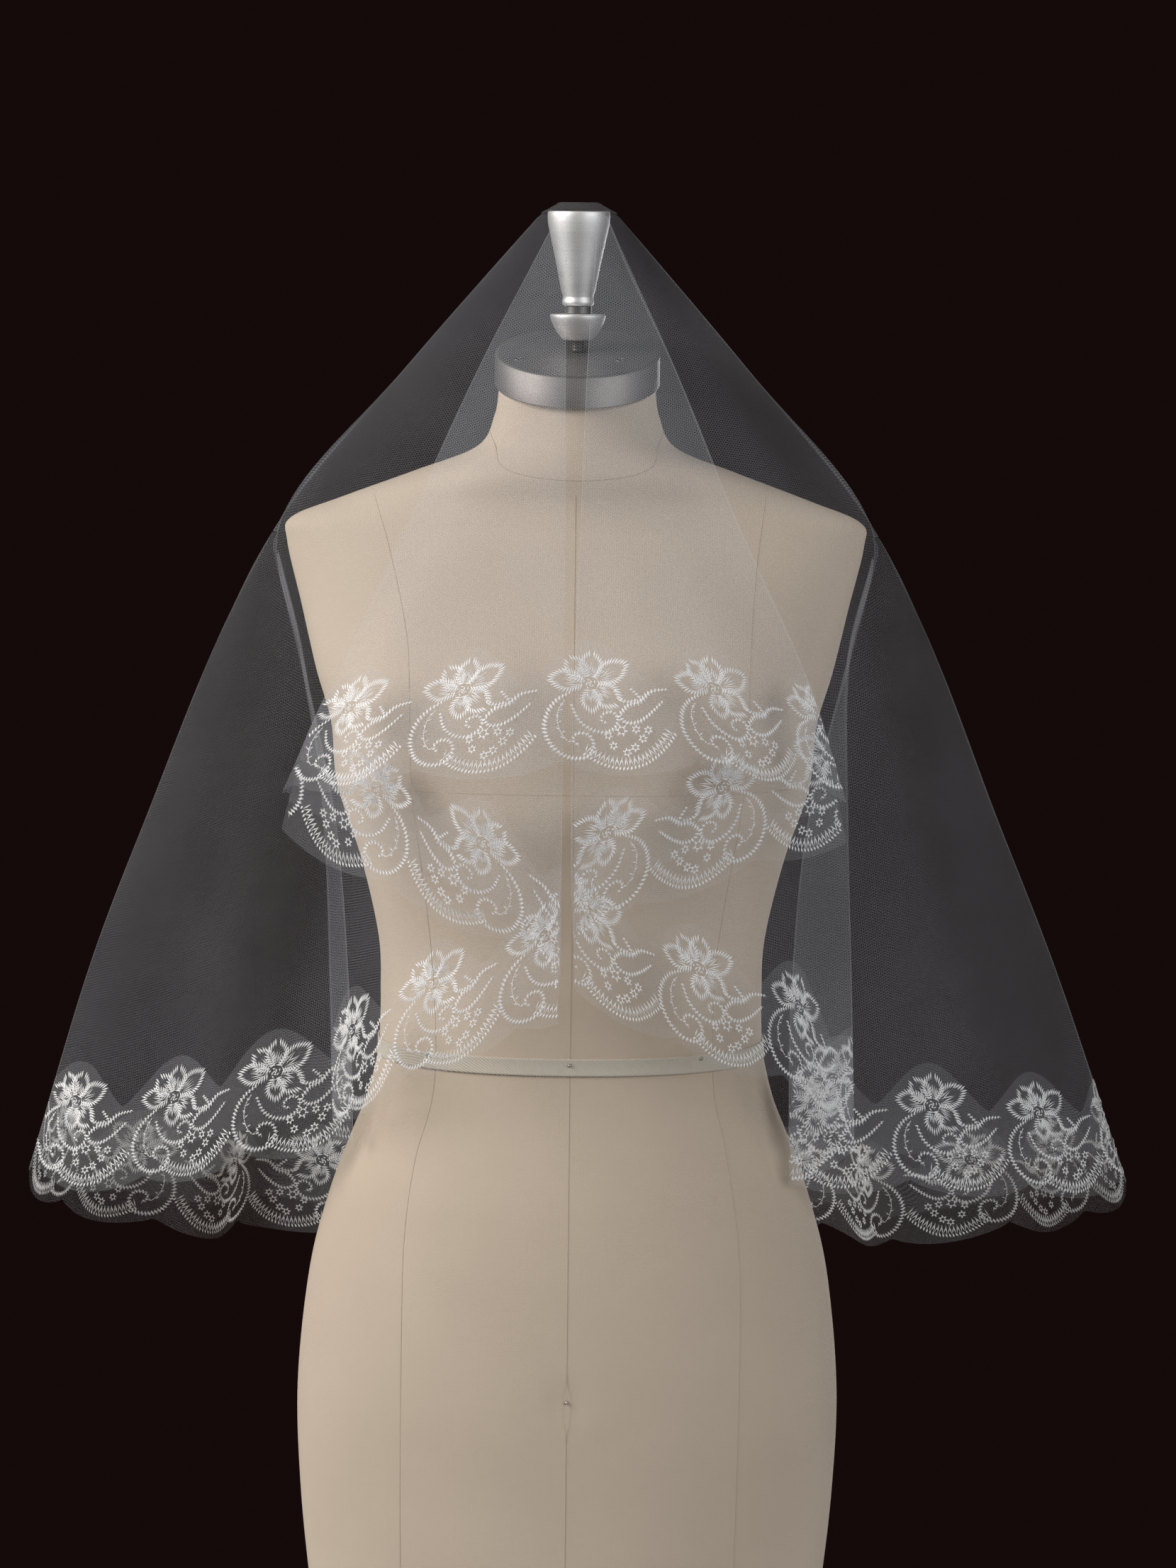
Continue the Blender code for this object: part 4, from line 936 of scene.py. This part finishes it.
def star(x, y, size):
    for arm in range(6):
        turn = arm * math.tau / 6 + x
        stitch(x + size * 0.62 * math.cos(turn), y + size * 0.62 * math.sin(turn), turn + math.pi / 2, size * 0.80, 0.85)
        stitch(x + size * 0.95 * math.cos(turn), y + size * 0.95 * math.sin(turn), turn, size * 0.60, 0.85)


for petal_turn, petal_long, petal_wide in ((84, 18.5, 14), (28, 25, 14), (-35, 21, 15), (-86, 16, 12), (172, 23, 13),
                                           (130, 19, 14)):
    petal_heading = math.radians(petal_turn)
    petal(29 + 2.0 * math.cos(petal_heading), 59 + 2.0 * math.sin(petal_heading), petal_heading, petal_long,
          petal_wide, 5.6)
for knot in range(10):
    knot_turn, knot_reach = knot * 2.4, 0.5 + 0.36 * knot
    stitch(29 + knot_reach * math.cos(knot_turn), 59 + knot_reach * math.sin(knot_turn), knot_turn + 1.1, 2.3, 0.75)

SCROLL = [(16, 53), (8, 48), (2, 40), (0, 29), (5, 18), (14, 12), (25, 12), (30, 19), (27, 26), (20, 27), (17, 23),
          (20, 20)]
zigzag(SCROLL, (2.6, 3.6, 4.2, 4.2, 4.2, 4.0, 3.8, 3.4, 3.0, 2.4))
ARM = [(17, 45), (21, 36), (28, 30), (37, 28), (44, 31), (46, 37), (42, 41), (36, 39), (36, 35), (40, 34)]
zigzag(ARM, (2.6, 3.2, 3.6, 3.8, 3.4, 3.0, 2.6, 2.2))
BRANCH = [(47, 38), (51, 34), (58, 34), (66, 39), (75, 48)]
zigzag(BRANCH, (3.4, 3.6, 3.4, 2.8, 1.8), step=2.2)
LEAF_TOP = [(48, 40), (53, 45), (60, 47), (67, 53), (77, 55)]
zigzag(LEAF_TOP, (3.8, 4.8, 5.0, 3.4, 1.8), step=2.2)
zigzag([(45, 54), (48, 49), (53, 47), (58, 48)], (2.8, 3.4, 3.2), step=2.2)
zigzag([(55, 55), (59, 51), (62, 47)], (2.4, 3.4, 2.6), step=2.2)
TWIG = [(13, 48), (9, 42), (8, 34), (10, 27), (13, 23)]
comb(TWIG, 1, -0.35, 1.8, 1.7, lean=math.pi / 2, wide=0.6)
for twig_x, twig_y, twig_turn in ((11, 45.5, 2.6), (10.5, 42, 0.4), (8, 38, 2.4), (9.5, 34.5, 0.5), (8, 30, 2.5),
                                  (11.5, 28, 0.5), (10.5, 24.5, 2.6), (15, 22, 0.2)):
    stitch(twig_x, twig_y, twig_turn, 3.0, 0.6)
for star_x, star_y, star_size in ((48, 29, 3.4), (39.5, 26, 2.4), (42.5, 19.5, 2.4), (51, 15, 2.5), (56, 18, 2.5),
                                  (61, 23.5, 2.5), (57, 29.5, 2.4), (64.5, 29, 2.4)):
    star(star_x, star_y, star_size)
BORDER = [(24, 14), (32, 9), (42, 5.5), (52, 4.8), (62, 7.5), (70, 13), (77, 20), (81, 26)]
comb(BORDER, 1, -1.6, 3.2, 2.4, lean=0.35, wide=0.95)
comb(BORDER, 1, 0.8, 7.2, 3.3, lean=0.22, wide=0.62)
comb(BORDER, 1, 0.8, 6.8, 3.3, lean=-0.22, wide=0.5)
motif = np.array(stitches)

thread = Surface("rayon_thread", "lace", Roughness=0.40, Coat_Weight=0.4, Coat_Roughness=0.35, Sheen_Weight=0.6)
thread_place = thread.place()
strands = thread.noise(thread_place, 1600.0, 2.0)
thread.feed("Base Color", thread.noise(thread_place, 120.0, 2.0).mix(colour(0.95, 0.96, 0.98),
                                                                    colour(0.99, 0.97, 0.95)))
thread.feed("Roughness", strands.between(0.3, 0.7, 0.26, 0.46))
thread.bump(strands, 0.25, 0.0002)


def add_stitches(name, band, normals, phase, middle_phase):
    """The motif's stitches on one stretch of the border, as small raised grains in one mesh.

    Each repeat keeps its own flat size; where the hem flares, the repeats stand further apart.
    """
    random = np.random.default_rng(len(band))
    across = lengths(band)
    across = across - across[len(band) // 2]
    spread = (across[-1] - across[0]) / (across[-1, FLOWER_ROW] - across[0, FLOWER_ROW])
    first = math.floor(phase[0]) - 1
    repeats = math.ceil(phase[-1]) + 1 - first
    count = len(motif)
    x, y, turn, long, wide = (np.tile(column, repeats) for column in motif.T)
    turn = turn + random.normal(0.0, 0.07, count * repeats)
    lift = 0.00042 * random.uniform(0.8, 1.25, count * repeats)
    flower = (first + np.repeat(np.arange(repeats), count) + 1 - TRIM_HIGH / 80 - middle_phase) * REPEAT
    cosine, sine = np.cos(turn), np.sin(turn)
    corners = []
    for along, aside, raised in ((-0.5, 0, 0.15), (0.5, 0, 0.15), (0, -0.5, 0.0), (0, 0.5, 0.0), (-0.2, 0, 1.0),
                                 (0.2, 0, 1.0)):
        corner_x = x + along * long * cosine - aside * wide * sine
        corner_y = y + along * long * sine + aside * wide * cosine
        corners.append(((TRIM_HIGH - corner_x) / 1000.0, corner_y / 1000.0, GROUND_OFFSET + 0.0002 + lift * raised))
    corners = np.array(corners)
    index = np.arange(len(band))
    columns_at = np.array([np.interp(flower * spread[level] + corners[:, 0], across[:, level], index, -9, -9)
                           for level in range(BAND_ROWS)])
    rise = np.clip(corners[:, 1] / BAND_TOP, 0, 1) * (BAND_ROWS - 1)
    row = np.minimum(rise.astype(int), BAND_ROWS - 2)
    part, grain = np.indices(row.shape)
    share = columns_at[row, part, grain], columns_at[row + 1, part, grain]
    kept = np.all((share[0] >= 0) & (share[1] >= 0), axis=0)
    up, row, lifted = (rise - row)[:, kept, None], row[:, kept], corners[:, 2][:, kept]
    share = share[0][:, kept] * (1 - up[..., 0]) + share[1][:, kept] * up[..., 0]
    column = np.minimum(share.astype(int), len(band) - 2)
    beside = (share - column)[..., None]
    placed = []
    for source in (band, normals):
        low = source[column, row] * (1 - beside) + source[column + 1, row] * beside
        high = source[column, row + 1] * (1 - beside) + source[column + 1, row + 1] * beside
        placed.append(low * (1 - up) + high * up)
    points = placed[0] + placed[1] * lifted[..., None]
    points = np.swapaxes(points, 0, 1).reshape(-1, 3)
    faces = []
    for first in range(0, len(points), 6):
        back, front, right, left, rear, fore = range(first, first + 6)
        faces += [(back, right, rear), (right, front, fore), (right, fore, rear),
                  (back, rear, left), (left, fore, front), (left, rear, fore)]
    return add_mesh(name, points, faces, thread)


LACES = {
    # name: sheet, cad nodes, place in the repeat at the sheet's middle line
    "flap": ("flap_net", ["front_flap_lace"], 0.83),
    "inner_left": ("inner_left_net", ["inner_fold_left_lace"], 0.10),
    "inner_right": ("inner_right_net", ["inner_fold_right_lace"], 0.55),
    "front_left": ("front_left_net", ["lower_front_left_lace"], 0.75),
    "front_right": ("front_right_net", ["lower_front_right_lace"], 0.27),
    "tuck_left": ("tuck_left_net", ["tuck_left_lace"], 0.40),
    "tuck_right": ("tuck_right_net", ["tuck_right_lace"], 0.55),
    "wing_left": ("wing_left_net", ["wing_left_lace"], 0.52),
    "wing_right": ("wing_right_net", ["wing_right_lace"], 0.32),
    "back": ("back_net", ["back_left_lace", "back_right_lace"], 0.36),
}
for lace_name, (sheet_name, cad_nodes, middle_phase) in LACES.items():
    band, normals, phase = add_lace(lace_name + "_edging", sheet_name, cad_nodes, middle_phase)
    add_stitches(lace_name + "_embroidery", band, normals, phase, middle_phase)


# Areas of the cloth.
# The veil is cut from one piece of net, and each sheet below is the sector of it that shows. Each length of the edging
# is cut to the hem of its sheet.
# The area of each sheet and of each length of edging is worked out here, with what each sheet lies on, and nothing uses
# them.
def cloth_area(grid):
    first, second = grid[1:, 1:] - grid[:-1, :-1], grid[1:, :-1] - grid[:-1, 1:]
    return float(np.linalg.norm(np.cross(first, second), axis=2).sum() / 2)


for sheet_name, (sheet, grid) in cut_sheets.items():
    lies_on = ["torso_cover"] if sheet_name.startswith(("front", "back")) else ["front_left_net", "front_right_net"]
    ["knob"] + lies_on
    cloth_area(grid)
for lace_name, (ground, grid, sheet_name) in cut_laces.items():
    cloth_area(grid)
    lace_name + "_embroidery"
